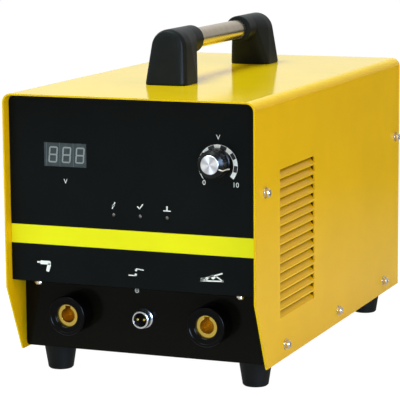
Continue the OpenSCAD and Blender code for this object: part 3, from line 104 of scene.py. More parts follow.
class StudWelderSizes(bpy.types.PropertyGroup):
    """Sizes of the mouldings and the printed marks."""

    post_length: size("Post length", "Length of a handle post's foot along the case", 37)
    post_lean: size("Post lean", "How far a post leans towards the handle's middle", 10.5)
    post_corner: size("Post corner", "Corner radius of a post's foot", 7)
    post_edge: size("Post edge", "Voxel of the soft moulded edges", 0.8)
    arch_radius: size("Arch radius", "Radius of a post's rounded front at its top", 17)
    arch_lean: size("Arch lean", "How far a post's front leans back at its top", 7)
    arch_edge: size("Arch edge", "Soft edge round a post's front", 5.5)
    arch_length: size("Arch length", "Length of a post's rounded top in front of its collar", 12)
    tube_seat: size("Tube seat", "How deep the tube sits in its collar", 24)
    socket_back: size("Socket back", "How far a socket reaches behind the face of its panel", 9)
    band_low: size("Band foot", "Height of the printed band's lower edge", 123.2)
    band_high: size("Band head", "Height of the printed band's upper edge", 140.0)
    dial_outer: size("Dial outer radius", "Outer radius of the printed dial", 17.9)
    dial_inner: size("Dial inner radius", "Inner radius of the printed dial", 14.0)
    dial_block: size("Dial block", "Breadth of the dark blocks on the dial", 3.2)
    dial_block_length: size("Dial block length", "Length of the dark blocks round the dial", 5.65)
    dial_shift: size("Dial shift", "How far the print of the dial is right of the knob's axis", 0.75)
    dial_drop: size("Dial drop", "How far the print of the dial is below the knob's axis", 2.6)
    digit_height: size("Digit height", "Height of a display digit", 14.2)
    digit_width: size("Digit width", "Width of a display digit", 8.4)
    digit_pitch: size("Digit pitch", "Distance from one digit to the next", 12.85)
    digit_bar: size("Digit bar", "Width of a digit's bars", 1.3)
    digit_shift: size("Digit shift", "How far the digits stand right of the window's middle", 1.4)
    digit_slant: angle("Digit slant", "Lean of the digits to the right", 5)
    print_height: size("Print height", "How far printed ink stands on its film", 0.05)
    number_height: size("Number height", "Height of the numbers by the dial", 6)


class StudWelderColours(bpy.types.PropertyGroup):
    """Colours of the finishes that show most."""

    cover: tint("Cover", "Stoved enamel of the cover", "#E6C00A")
    band: tint("Band", "Printed band on the front film", "#EBEA1C")
    film: tint("Film", "Printed film on the front panel", "#0D1112")
    panel: tint("Panels", "Black enamel of the socket and rear panels", "#0F0F0B")
    display: tint("Display", "Smoked face of the display", "#3D464C")
    ink: tint("Ink", "White ink of the printed marks", "#E9EDF2")
    handle: tint("Handle", "Moulded handle posts", "#1A1E21")
    tube: tint("Tube", "Satin handle tube", "#B8AB95")
    brass: tint("Brass", "Turned socket inserts", "#DCBC56")
    rubber: tint("Rubber", "Moulded feet", "#101313")
    rocker: tint("Rocker", "Power rocker", "#B01C16")


class StudWelderStage(bpy.types.PropertyGroup):
    """Camera and light of the plain studio."""

    place: FloatVectorProperty(name="Camera place", description="Where the camera stands", subtype="TRANSLATION",
                               default=(699.3 * MM, -1781.7 * MM, 446.4 * MM), unit="LENGTH")
    yaw: angle("Yaw", "Turn of the view to the left", 21.94)
    pitch: angle("Pitch", "Tilt of the view downwards", 9.22)
    roll: angle("Roll", "Roll of the view", -0.43)
    lens: FloatProperty(name="Lens", description="Focal length on a 36 mm sensor", default=183.1, min=1)
    key: power("Key light", "Power of the large soft lamp", 94)
    fill: power("Fill light", "Power of the lamp beside the case", 21)
    strip: power("Strip light", "Power of the lamp that only mirrors show", 120)
    sky: FloatProperty(name="Sky", description="Strength of the even light all round", default=0.38, min=0)


# Building shaders, with the lengths of their patterns, bumps and edges in millimetres


def node(tree, kind, sockets=None, **settings):
    """Adds a shader node, sets its settings and its sockets, and links sockets that are given another's output."""
    made = tree.nodes.new("ShaderNode" + kind)
    for key, value in settings.items():
        setattr(made, key, value)
    for key, value in (sockets or {}).items():
        if isinstance(value, bpy.types.NodeSocket):
            tree.links.new(value, made.inputs[key])
        else:
            made.inputs[key].default_value = value
    return made


def rgba(colour, gain=1.0):
    """A hex code or a linear colour, made lighter or darker, with full alpha."""
    shares = linear(colour) if isinstance(colour, str) else colour
    return (*(min(1.0, share * gain) for share in shares), 1.0)


def begin_material(name):
    """A new node material and the place its patterns are drawn in, which is the piece's own frame."""
    made = bpy.data.materials.new(name)
    made.use_nodes = True
    made.node_tree.nodes.clear()
    tree = made.node_tree
    return made, tree, node(tree, "TexCoord").outputs["Object"]


def end_material(tree, colour, roughness, height, depth, edge=0.35, **fixed):
    """Closes a material: softened edges, bump of a real depth, and the shader's fixed sockets."""
    soft = node(tree, "Bevel", {"Radius": edge * MM}, samples=4)
    bump = node(tree, "Bump", {"Strength": 1.0, "Distance": depth * MM, "Height": height, "Normal": soft.outputs[0]})
    sockets = {"Base Color": colour, "Roughness": roughness, "Normal": bump.outputs[0]}
    sockets.update({key.replace("_", " "): value for key, value in fixed.items()})
    shader = node(tree, "BsdfPrincipled", sockets)
    node(tree, "OutputMaterial", {"Surface": shader.outputs[0]})


def grain(tree, place, spacing, detail=2.0, stretch=(1, 1, 1)):
    """Noise whose patches are about as far across as spacing, drawn out by stretch."""
    drawn = node(tree, "Mapping", {"Vector": place, "Scale": tuple(1 / s for s in stretch)})
    return node(tree, "TexNoise", {"Vector": drawn.outputs[0], "Scale": 1 / (spacing * MM), "Detail": detail,
                                   "Roughness": 0.55}).outputs["Fac"]


def between(tree, factor, low, high, start=0.3, end=0.7):
    """A number that runs from low to high as the factor runs from start to end."""
    return node(tree, "MapRange", {"Value": factor, "From Min": start, "From Max": end, "To Min": low,
                                   "To Max": high}).outputs[0]


def mixed(tree, factor, first, second):
    """A colour between two, by the factor."""
    return node(tree, "Mix", {0: factor, 6: first, 7: second}, data_type="RGBA").outputs[2]


def mottled(tree, pattern, colour, dark, pale):
    """A colour that a pattern makes darker and paler."""
    return mixed(tree, between(tree, pattern, 0, 1), rgba(colour, dark), rgba(colour, pale))


def maths(tree, operation, *values):
    """The result of a sum on numbers or on other nodes' outputs."""
    return node(tree, "Math", dict(enumerate(values)), operation=operation).outputs[0]


def vector_maths(tree, operation, *values):
    """The result of a sum on vectors: a number from a length or a dot product, or else a vector."""
    made = node(tree, "VectorMath", dict(enumerate(values)), operation=operation)
    return made.outputs["Value" if operation in ("LENGTH", "DOT_PRODUCT") else "Vector"]


def coordinate(tree, place, axis):
    """One of a place's three coordinates."""
    return node(tree, "SeparateXYZ", {0: place}).outputs[axis]


def rim(tree, reach):
    """A factor that is 1 on edges and 0 on flats, from how far softened edges lean away from the face."""
    soft = node(tree, "Bevel", {"Radius": reach * MM}, samples=4)
    face = node(tree, "NewGeometry")
    lean = vector_maths(tree, "DOT_PRODUCT", soft.outputs[0], face.outputs["Normal"])
    return between(tree, lean, 1.0, 0.0, 0.8, 0.995)


def enamel(name, colour, gloss, specular, peel=2.6, wear=0.25, slots=None):
    """Stoved enamel on sheet: even colour, a faint orange peel, hand smears in the gloss, and paler thin edges.
    Behind the side faces of slots, a corner of the sheet's box, it has painted shade, darker the further in it lies,
    as between louvre blades."""
    made, tree, place = begin_material(name)
    cloud = grain(tree, place, 70)
    smear = grain(tree, place, 22, 4.0, (1, 1.6, 1))
    skin = mottled(tree, cloud, colour, 0.965, 1.03)
    worn = maths(tree, "MULTIPLY", rim(tree, 0.6), wear)
    skin = mixed(tree, worn, skin, rgba(colour, 1.25))
    # Painted shade between the louvre blades: sheet behind the side face and below the top is made dark, more the
    # further in it lies
    if slots:
        blade, sheet, top = 5.2 * MM, 1.6 * MM, 25 * MM
        side = maths(tree, "ABSOLUTE", coordinate(tree, place, "X"))
        deep = between(tree, side, 1, 0, slots.x - blade, slots.x - sheet)
        below = between(tree, coordinate(tree, place, "Z"), deep, 0, slots.z - top - MM, slots.z - top)
        skin = mixed(tree, below, skin, rgba(colour, 0.16))
    end_material(tree, skin, between(tree, smear, gloss * 0.85, gloss * 1.2), grain(tree, place, peel, 1.0),
                 0.02, edge=0.5, IOR=1.5, Specular_IOR_Level=specular)
    return made


def moulded(name, colour, gloss, pebble, depth=0.02, specular=0.5):
    """Moulded plastic or rubber: a fine pebbled skin, slow shade changes from cooling, and polished edges."""
    made, tree, place = begin_material(name)
    flow = grain(tree, place, 14, 3.0)
    skin = mottled(tree, flow, colour, 0.9, 1.12)
    skin = mixed(tree, between(tree, rim(tree, 0.5), 0, 0.5, 0, 1), skin, rgba(colour, 1.7))
    end_material(tree, skin, between(tree, flow, gloss * 0.88, gloss * 1.12), grain(tree, place, pebble, 1.0), depth,
                 IOR=1.49, Specular_IOR_Level=specular)
    return made


def metal(name, colour, gloss, lines, stretch, depth=0.006, axis=None):
    """Plated, drawn or turned metal: fine tool lines drawn out along the work, dull patches and bright edges.
    Below the height axis it is brighter, a painted reflection of the bright cover beneath it."""
    made, tree, place = begin_material(name)
    patch = grain(tree, place, 9, 4.0)
    line = grain(tree, place, lines, 2.0, stretch)
    skin = mottled(tree, patch, colour, 0.92, 1.04)
    skin = mixed(tree, between(tree, rim(tree, 0.3), 0, 0.6, 0, 1), skin, rgba(colour, 1.3))
    # Painted reflection: below the height axis the colour is made twice as bright
    if axis:
        below = between(tree, coordinate(tree, place, "Z"), 1, 0, axis - 4 * MM, axis - 1 * MM)
        skin = mixed(tree, below, skin, rgba(colour, 2.0))
    end_material(tree, skin, between(tree, line, gloss * 0.8, gloss * 1.2), line, depth, edge=0.2, Metallic=1.0)
    return made


def turned_metal(name, colour, gloss, hub, groove=0.35):
    """A face turned on a lathe: rings of fine grooves round its hub, and a painted sheen, lighter and darker sectors
    of its colour, that fans out from the middle.
    """
    made, tree, place = begin_material(name)
    flat = vector_maths(tree, "MULTIPLY", vector_maths(tree, "SUBTRACT", place, tuple(hub)), (1, 0, 1))
    radius = vector_maths(tree, "LENGTH", flat)
    turns = maths(tree, "SINE", maths(tree, "MULTIPLY", radius, 2 * math.pi / (groove * MM)))
    ring = between(tree, turns, 0, 1, -1, 1)
    # Painted highlight and shade: sectors round the hub are made lighter or darker in the colour, as a sheen
    beams, turn = 4.0, -1.4
    bearing = maths(tree, "ARCTAN2", coordinate(tree, flat, "Z"), coordinate(tree, flat, "X"))
    fan = between(tree, maths(tree, "COSINE", maths(tree, "MULTIPLY_ADD", bearing, beams, turn)), 0, 1, -1, 1)
    skin = mixed(tree, fan, mixed(tree, ring, rgba(colour, 0.6), rgba(colour, 0.7)),
                 mixed(tree, ring, rgba(colour, 1.04), rgba(colour, 1.12)))
    around = node(tree, "Tangent", direction_type="RADIAL", axis="Y")
    end_material(tree, skin, between(tree, ring, gloss * 0.9, gloss * 1.1, 0, 1), ring, 0.004, edge=0.2,
                 Metallic=1.0, Anisotropic=0.85, Tangent=around.outputs[0])
    return made


def film(name, colour, band, low, high):
    """Printed polyester film: satin black ink with a lemon band screened on it, and a fine matt grain."""
    made, tree, place = begin_material(name)
    height = coordinate(tree, place, "Z")
    inside = maths(tree, "MULTIPLY", maths(tree, "GREATER_THAN", height, low), maths(tree, "LESS_THAN", height, high))
    cloud = grain(tree, place, 45, 3.0)
    black = mottled(tree, cloud, colour, 0.9, 1.12)
    lemon = mottled(tree, cloud, band, 0.97, 1.02)
    skin = mixed(tree, inside, black, lemon)
    end_material(tree, skin, between(tree, cloud, 0.3, 0.38), grain(tree, place, 0.6, 1.0), 0.006,
                 IOR=1.5, Specular_IOR_Level=0.05)
    return made


def display_face(name, colour, pitch, centre):
    """Smoked display face: grey cells with a paler joint between the digits, behind a smooth skin."""
    made, tree, place = begin_material(name)
    step = maths(tree, "SUBTRACT", coordinate(tree, place, "X"), centre - pitch / 2)
    joint = between(tree, maths(tree, "PINGPONG", step, pitch / 2), 1.0, 0.0, 0.15 * MM, 0.4 * MM)
    cloud = grain(tree, place, 8, 2.0)
    skin = mottled(tree, cloud, colour, 0.92, 1.08)
    skin = mixed(tree, joint, skin, rgba(colour, 2.1))
    end_material(tree, skin, between(tree, cloud, 0.22, 0.3), cloud, 0.004, IOR=1.5, Specular_IOR_Level=0.15)
    return made


def layered(name, colour, second, spacing, axis, gloss, metallic=0.0):
    """Something laid up in layers, such as laminations or a winding: thin bands across one axis."""
    made, tree, place = begin_material(name)
    wave = node(tree, "TexWave", {"Vector": place, "Scale": 0.5 / (spacing * MM), "Distortion": 0.4, "Detail": 2.0},
                wave_type="BANDS", bands_direction=axis).outputs["Fac"]
    cloud = grain(tree, place, 12, 3.0)
    skin = mixed(tree, wave, rgba(colour), rgba(second))
    skin = mixed(tree, between(tree, cloud, 0, 0.35), skin, rgba(colour, 0.6))
    end_material(tree, skin, between(tree, cloud, gloss * 0.85, gloss * 1.2), wave, 0.08, Metallic=metallic)
    return made


def board(name, mask, copper):
    """Circuit board: green solder mask with paler tracks under it and a slight weave."""
    made, tree, place = begin_material(name)
    track = node(tree, "TexBrick", {"Vector": place, "Scale": 1 / (9 * MM), "Mortar Size": 0.06,
                                    "Color1": rgba(mask), "Color2": rgba(mask, 0.8), "Mortar": rgba(copper)},
                 offset=0.35, squash=1.8)
    weave = grain(tree, place, 0.7, 1.0)
    end_material(tree, track.outputs["Color"], between(tree, weave, 0.3, 0.42), track.outputs["Fac"], 0.03, IOR=1.5)
    return made


def make_finishes(colours, sizes):
    """All materials, by the name of the finish."""
    return {
        # Stoved enamel, sprayed and baked: a glossy yellow coat that mirrors the white room at a low angle, with
        # painted shade between its louvre blades
        "cover": enamel("stoved enamel cover", colours.cover, 0.12, 0.06, slots=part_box("top_cover")[1]),
        # Stoved enamel, sprayed and baked: black with enough gloss to mirror what stands on it
        "panel": enamel("stoved enamel panel", colours.panel, 0.14, 0.07, 2.0, 0.6),
        # Screen-printed polyester: satin black and one lemon band
        "film": film("printed polyester film", colours.film, colours.band, sizes.band_low, sizes.band_high),
        # Nickel-plated steel, cold headed: small bright heads with dark recesses
        "screws": metal("nickel plated steel", "#DCD2C0", 0.22, 0.4, (1, 1, 1)),
        # Zinc-plated steel, rolled and plated: grey with a soft shine
        "zinc": metal("zinc plated steel", "#B4B5B6", 0.38, 0.6, (1, 12, 1)),
        # EPDM rubber, moulded: matt black with dusty high spots
        "rubber": moulded("moulded rubber", colours.rubber, 0.55, 0.6, 0.02, 0.15),
        # Glass-filled nylon, moulded: charcoal with a pebbled skin and soft broad highlights
        "handle": moulded("moulded nylon", colours.handle, 0.38, 0.45, 0.01, 0.06),
        # Stainless tube, drawn and satin finished: warm grey, with a painted reflection making it brighter below,
        # lines along the tube
        "tube": metal("satin stainless tube", colours.tube, 0.24, 1.2, (1, 90, 1), 0.003, TUBE.z),
        # Smoked acrylic over a display: grey cells
        "display": display_face("smoked display face", colours.display, sizes.digit_pitch,
                                WINDOW.x + sizes.digit_shift),
        # ABS, moulded: plain dark housings
        "abs": moulded("moulded ABS", "#202224", 0.45, 0.6),
        # FR4 board under solder mask
        "board": board("solder masked board", "#14502B", "#4E8A4A"),
        # Tinted epoxy, cast: small dark lenses while unlit
        "lens": moulded("tinted epoxy lens", "#5B5650", 0.12, 1.0, 0.002),
        # Phenolic, moulded: the knob's satin black grip
        "knob": moulded("moulded phenolic", "#0E0F10", 0.26, 0.7, 0.006, 0.18),
        # Aluminium, turned: a bright face with a painted sheen that fans out from its middle
        "cap": turned_metal("turned aluminium", "#ECEDF2", 0.34, KNOB),
        # Phenolic, moulded: the sockets' glossy black collars
        "socket": moulded("glossy phenolic", "#060607", 0.2, 1.2, 0.004, 0.08),
        # Brass, turned: golden with tool lines round the bore
        "brass": metal("turned brass", colours.brass, 0.24, 0.25, (1, 1, 1), 0.01),
        # Chrome on brass, plated: a mirror that is slightly hazed
        "chrome": metal("bright chrome", "#DEE0E0", 0.24, 0.5, (1, 1, 1), 0.003),
        # PVC sleeve, shrunk on: glossy blue with a stretched grain
        "sleeve": moulded("shrunk PVC sleeve", "#263A66", 0.25, 2.0, 0.03),
        # Phenolic paper board, sawn: brown with layered edges
        "laminate": layered("phenolic paper board", "#7C5F35", "#8E7042", 0.6, "Z", 0.5),
        # Copper bar, rolled: warm metal with lines along the bar
        "copper": metal("rolled copper bar", "#C07A4A", 0.3, 0.4, (1, 30, 1)),
        # Electrical steel, stacked and varnished: dark thin layers
        "core": layered("varnished laminations", "#4A4642", "#5D5852", 0.8, "Y", 0.45, 0.6),
        # Enamelled wire, wound: reddish turns in layers
        "winding": layered("enamelled winding", "#8A3B1E", "#B35A30", 1.0, "Z", 0.35, 0.4),
        # Aluminium, extruded: pale grey with die lines along the fins
        "sink": metal("extruded aluminium", "#A9ADB1", 0.42, 0.5, (1, 80, 1)),
        # Glossy polycarbonate, moulded: the red rocker
        "rocker": moulded("moulded polycarbonate", colours.rocker, 0.22, 1.5, 0.004),
        # Screen ink: opaque white with a slight tooth
        "ink": moulded("white screen ink", colours.ink, 0.45, 0.4, 0.004),
        # Screen ink: opaque black on the white dial
        "dark_ink": moulded("black screen ink", "#0C0E10", 0.4, 0.4, 0.004),
        # Clear epoxy bars of an unlit display
        "segment": moulded("unlit display bar", "#8B949A", 0.3, 0.8, 0.003, 0.3),
    }


NODE_FINISH = {
    "cover": ["top_cover"],
    "panel": ["front_panel", "socket_panel", "rear_panel"],
    "film": ["front_overlay"],
    "screws": ["case_screws", "case_washers", "rear_screws"],
    "zinc": ["chassis_pan", "case_nuts", "foot_screws", "handle_screws", "board_standoffs", "pot_shaft", "pot_nut",
             "connector_nut", "terminal_screws", "transformer_strap"],
    "rubber": ["rubber_feet"],
    "handle": ["handle_front_post", "handle_rear_post"],
    "tube": ["handle_tube"],
    "display": ["display_window"],
    "abs": ["display_module", "pot_body", "discharge_thyristor", "charging_bridge", "fan_frame", "fan_rotor",
            "switch_body", "mains_inlet"],
    "board": ["control_board", "power_board"],
    "lens": ["indicator_lamps"],
    "knob": ["setting_knob"],
    "cap": ["knob_cap"],
    "socket": ["left_socket_body", "right_socket_body", "socket_ring_nuts", "connector_insert"],
    "brass": ["left_socket_insert", "right_socket_insert", "socket_stud_nuts", "connector_pins", "inlet_pins",
              "earth_stud", "earth_nuts"],
    "chrome": ["connector_shell", "fan_guard"],
    "sleeve": ["capacitor_cans"],
    "laminate": ["can_board"],
    "copper": ["positive_bus", "negative_bus", "gun_strap", "clamp_strap", "bank_link"],
    "core": ["transformer_core"],
    "winding": ["transformer_winding"],
    "sink": ["heat_sink"],
    "rocker": ["power_rocker"],
}
# The materials by finish, which the first step makes
FINISH = {}


# Modelling by operators


def begin():
    """Leaves edit mode and deselects everything, because an operator acts on all that is selected."""
    if bpy.context.object and bpy.context.object.mode != "OBJECT":
        bpy.ops.object.mode_set(mode="OBJECT")
    bpy.ops.object.select_all(action="DESELECT")


def activate(piece):
    """Selects one piece alone and makes it the active one."""
    begin()
    piece.select_set(True)
    bpy.context.view_layer.objects.active = piece


def pick(kind, test):
    """In edit mode, selects the vertices or the edges of the active piece that pass a test."""
    bpy.ops.object.mode_set(mode="EDIT")
    bpy.ops.mesh.select_mode(type=kind)
    bpy.ops.mesh.select_all(action="DESELECT")
    mesh = bmesh.from_edit_mesh(bpy.context.object.data)
    for element in mesh.verts if kind == "VERT" else mesh.edges:
        element.select_set(bool(test(element)))
    bmesh.update_edit_mesh(bpy.context.object.data)


def add_modifier(piece, kind, **settings):
    """Adds a modifier with its settings and applies it at once."""
    made = piece.modifiers.new(kind.title(), kind)
    for key, value in settings.items():
        setattr(made, key, value)
    bpy.ops.object.modifier_apply(modifier=made.name)


def dress(piece, finish):
    """Gives a piece one finish in place of what it had."""
    piece.data.materials.clear()
    piece.data.materials.append(FINISH[finish])


def close(piece, name, body, slot, finish, *replaced):
    """Ends the active piece: its faces point out, and it gets its name, its finish and its body."""
    bpy.ops.object.mode_set(mode="EDIT")
    bpy.ops.mesh.select_all(action="SELECT")
    bpy.ops.mesh.normals_make_consistent(inside=False)
    bpy.ops.object.mode_set(mode="OBJECT")
    bpy.ops.object.shade_smooth_by_angle(angle=math.radians(35))
    piece.name = piece.data.name = name
    dress(piece, finish)
    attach(piece, body)
    if replaced:
        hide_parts(*replaced)


def join(pieces):
    """Joins pieces into the first one."""
    begin()
    for piece in pieces:
        piece.select_set(True)
    bpy.context.view_layer.objects.active = pieces[0]
    bpy.ops.object.join()
    return bpy.context.object


def weld():
    """Merges the points that meet in the piece in edit mode, points its faces out, and leaves edit mode."""
    bpy.ops.mesh.select_all(action="SELECT")
    bpy.ops.mesh.remove_doubles(threshold=0.0005 * MM)
    bpy.ops.mesh.normals_make_consistent(inside=False)
    bpy.ops.object.mode_set(mode="OBJECT")


def turned(profile, steps):
    """A turned form: a line of (radius, height) points drawn by extrusion, spun about Z, and merged."""
    begin()
    bpy.ops.mesh.primitive_plane_add(size=MM)
    bpy.ops.object.mode_set(mode="EDIT")
    bpy.ops.mesh.select_mode(type="VERT")
    bpy.ops.mesh.select_all(action="SELECT")
    bpy.ops.mesh.merge(type="CENTER")
    bpy.ops.transform.translate(value=(profile[0][0], 0, profile[0][1]))
    for (r0, z0), (r1, z1) in zip(profile, profile[1:]):
        bpy.ops.mesh.extrude_region_move(TRANSFORM_OT_translate={"value": (r1 - r0, 0, z1 - z0)})
    bpy.ops.mesh.select_all(action="SELECT")
    bpy.ops.mesh.spin(steps=steps, angle=2 * math.pi, center=(0, 0, 0), axis=(0, 0, 1))
    weld()
    return bpy.context.object


def stand(piece, place, turn=(0, 0, 0)):
    """Puts a piece made at the origin in its place, turned by XYZ angles in degrees."""
    activate(piece)
    piece.matrix_world = Matrix.LocRotScale(place, Euler([math.radians(t) for t in turn]), None)
    bpy.ops.object.transform_apply()


def copy_of(piece):
    """A copy of a piece, with a mesh of its own."""
    activate(piece)
    bpy.ops.object.duplicate(linked=False)
    return bpy.context.object


FACING_FRONT = (90, 0, 0)


def slab(length, width, height, bevel=0.0, segments=1):
    """A block that stands on the XY plane round the origin, with its upright edges bevelled."""
    begin()
    bpy.ops.mesh.primitive_cube_add(size=1, location=(0, 0, height / 2))
    piece = bpy.context.object
    piece.scale = (length, width, height)
    bpy.ops.object.transform_apply()
    if bevel:
        pick("EDGE", lambda e: abs((e.verts[0].co - e.verts[1].co).z) > height / 2)
        bpy.ops.mesh.bevel(offset=bevel, segments=segments, affect="EDGES")
    return piece


def rod(radius, start, length, height, vertices=96):
    """A round bar along Y from start, at a height over the origin, in the piece in edit mode or on its own."""
    bpy.ops.mesh.primitive_cylinder_add(vertices=vertices, radius=radius, depth=length,
                                        location=(0, start + length / 2, height), rotation=(math.pi / 2, 0, 0))
    return bpy.context.object


def bar(length, width, height, turn=0.0, at=(0, 0), point=0.0):
    """A flat printed bar lying on the XY plane, with its ends pointed by a share of its width."""
    piece = slab(length, width, height, width * point)
    stand(piece, (*at, 0), (0, 0, turn))
    return piece


def arc(inner, outer, start, end, height, steps):
    """A flat ring sector lying on the XY plane, spun from one bar's end, angles in degrees from +X."""
    begin()
    bpy.ops.mesh.primitive_plane_add(size=1)
    piece = bpy.context.object
    piece.scale = (outer - inner, height, 1)
    bpy.ops.object.transform_apply()
    stand(piece, ((outer + inner) / 2, 0, height / 2), FACING_FRONT)
    stand(piece, (0, 0, 0), (0, 0, start))
    bpy.ops.object.mode_set(mode="EDIT")
    bpy.ops.mesh.select_all(action="SELECT")
    bpy.ops.mesh.spin(steps=steps, angle=math.radians(end - start), center=(0, 0, 0), axis=(0, 0, -1))
    weld()
    return piece


def printed(piece, name, place, finish="ink", slot="overlay_print"):
    """Ends print that was drawn on the XY plane: it faces the front at its place."""
    stand(piece, place, FACING_FRONT)
    close(piece, name, "case", slot, finish)


def numeral(body, height, at, thick):
    """A number or sign set in the built-in face, as a flat mesh lying on the XY plane."""
    begin()
    bpy.ops.object.text_add()
    letters = bpy.context.object.data
    letters.body = body
    letters.align_x = letters.align_y = "CENTER"
    letters.size = height
    letters.extrude = thick / 2
    bpy.ops.object.convert(target="MESH")
    piece = bpy.context.object
    bpy.ops.object.mode_set(mode="EDIT")
    weld()
    stand(piece, (*at, thick / 2))
    return piece


# Operators, one for each group of pieces


class STUD_OT_finishes(bpy.types.Operator):
    """Gives every solid of the frame its finish"""

    bl_idname = "stud.finishes"
    bl_label = "Finishes"

    def execute(self, context):
        scene = context.scene
        FINISH.update(make_finishes(scene.stud_colours, scene.stud_sizes))
        for finish, names in NODE_FINISH.items():
            for name in names:
                dress(frame["nodes"][name], finish)
        missing = set(frame["nodes"]) - {name for names in NODE_FINISH.values() for name in names}
        if missing:
            raise RuntimeError(f"no finish for {sorted(missing)}")
        return {"FINISHED"}


class STUD_OT_handle(bpy.types.Operator):
    """Moulds the two handle posts with soft edges and a collar for the tube"""

    bl_idname = "stud.handle"
    bl_label = "Handle posts"

    def moulding(self, sizes):
        """One post with its foot at the origin, facing +Y: a hull of foot, arch and head, with a bored collar."""
        low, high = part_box("handle_front_post")
        rise = TUBE.z - COVER_TOP
        collar = high.z - TUBE.z
        reach = (high.y - low.y) - sizes.post_length / 2
        foot, play = 2 * MM, 0.1 * MM
        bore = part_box("handle_tube")[1].z - TUBE.z + play
        arch_front = sizes.arch_lean - sizes.post_length / 2
        arch_rise = rise + collar - sizes.arch_radius
        piece = slab(high.x - low.x, sizes.post_length, foot, sizes.post_corner, 14)
        soft, shoulder = sizes.arch_edge, sizes.arch_edge * 0.3
        for radius, start, length, height in (
                (sizes.arch_radius - soft, arch_front, MM, arch_rise),
                (sizes.arch_radius - shoulder, arch_front + shoulder, MM, arch_rise),
                (sizes.arch_radius, arch_front + soft, sizes.arch_length, arch_rise),
                (collar, sizes.post_lean, sizes.post_length / 2, rise)):
            rod(radius, start, length, height, 64)
        bpy.ops.mesh.select_all(action="SELECT")
        # Joining triangles into quads would differ from run to run
        bpy.ops.mesh.convex_hull(join_triangles=False)
        begin()
        piece = join([piece, rod(collar, sizes.post_lean, reach - sizes.post_lean, rise)])
        add_modifier(piece, "REMESH", mode="VOXEL", voxel_size=sizes.post_edge)
        add_modifier(piece, "SMOOTH", factor=0.5, iterations=5)
        begin()
        cutter = rod(bore, reach - sizes.tube_seat, 2 * sizes.tube_seat, rise)
        activate(piece)
        add_modifier(piece, "BOOLEAN", object=cutter, operation="DIFFERENCE", solver="EXACT")
        bpy.data.objects.remove(cutter)
        return piece

    def execute(self, context):
        sizes = context.scene.stud_sizes
        front = self.moulding(sizes)
        rear = copy_of(front)
        half = sizes.post_length / 2
        stand(front, (TUBE.x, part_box("handle_front_post")[0].y + half, COVER_TOP))
        close(front, "front_post_moulding", "case", "handle_plastic", "handle", "handle_front_post")
        stand(rear, (TUBE.x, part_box("handle_rear_post")[1].y - half, COVER_TOP), (0, 0, 180))
        close(rear, "rear_post_moulding", "case", "handle_plastic", "handle", "handle_rear_post")
        return {"FINISHED"}


class STUD_OT_sockets(bpy.types.Operator):
    """Turns the two glossy socket collars with their rolled rims"""

    bl_idname = "stud.sockets"
    bl_label = "Weld sockets"

    def execute(self, context):
        back = context.scene.stud_sizes.socket_back
        low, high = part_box("left_socket_body")
        insert_low, insert_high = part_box("left_socket_insert")
        outer = (high.x - low.x) / 2
        bush, lead, dish, play = 13 * MM, 0.9 * MM, 0.7 * MM, 0.05 * MM
        bore = (insert_high.x - insert_low.x) / 2 + play
        proud = high.y - back - low.y
        rim_inside, rim_outside, edge = 2.1 * MM, 0.7 * MM, 0.8 * MM
        foot, step = 1.8 * MM, 0.6 * MM
        collar = turned([
            (bore, -back), (bore, proud - dish - lead), (bore + lead, proud - dish),
            (outer - rim_inside - dish, proud - dish), (outer - rim_inside, proud), (outer - rim_outside, proud),
            (outer, proud - edge), (outer, foot + step), (outer - step, foot), (outer - step, 0),
            (bush, 0), (bush, -back), (bore, -back)], 96)
        add_modifier(collar, "BEVEL", width=0.35 * MM, segments=3, limit_method="ANGLE",
                     angle_limit=math.radians(25))
        for side, piece in {"left": collar, "right": copy_of(collar)}.items():
            body = side + "_socket_body"
            stand(piece, (middle(body).x, high.y - back, middle(body).z), FACING_FRONT)
            close(piece, side + "_socket_collar", "case", "socket_plastic", "socket", body)
        return {"FINISHED"}


class STUD_OT_connector(bpy.types.Operator):
    """Turns the chrome barrel of the control connector with its flange, its thread and its rolled lip"""

    bl_idname = "stud.connector"
    bl_label = "Control connector"

    def execute(self, context):
        low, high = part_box("connector_shell")
        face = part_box("left_socket_body")[1].y - context.scene.stud_sizes.socket_back
        proud = face - low.y
        back = low.y - high.y + proud
        flange = (high.x - low.x) / 2
        outer, inner = 8 * MM, 6.8 * MM
        collar, nose, edge, fillet = 2.4 * MM, 4.0 * MM, 0.5 * MM, 0.3 * MM
        runout, pitch, groove = 0.8 * MM, 1.0 * MM, 0.3 * MM
        # The rolled lip from the bore to the thread: radius and depth behind the mouth, in millimetres
        lip = ((6.8, 1.2), (6.2, 1.0), (6.2, 0.4), (6.4, 0), (7.2, 0), (7.7, 0.4), (7.9, 1.4), (8.0, 3.0))
        thread = []
        for turn in range(int((proud - collar - nose) / pitch)):
            root = collar + runout + turn * pitch
            thread += [(outer - groove, root), (outer, root + pitch / 2)]
        piece = turned([
            (inner, back), *((radius * MM, proud - depth * MM) for radius, depth in lip), *thread[::-1],
            (outer, collar + fillet), (flange - edge, collar), (flange, collar - edge), (flange, 0),
            (outer, 0), (outer, back), (inner, back)], 64)
        stand(piece, (middle("connector_shell").x, face, middle("connector_shell").z), FACING_FRONT)
        close(piece, "connector_barrel", "case", "connector_chrome", "chrome", "connector_shell")
        return {"FINISHED"}


# The printed dial: its start and sweep in degrees against the clock from the right, its dark blocks and its facets
DIAL_START, DIAL_SWEEP, DIAL_BLOCKS, DIAL_STEPS = -39, 261, 6, 72
# Its end numbers and their places in millimetres from its middle
DIAL_NUMBERS = {"0": (-12.6, -15.2), "10": (16.0, -16.0)}
# Where the knob's pointer stands at rest, in degrees with the clock from the right
POINTER_TURN = 22.5


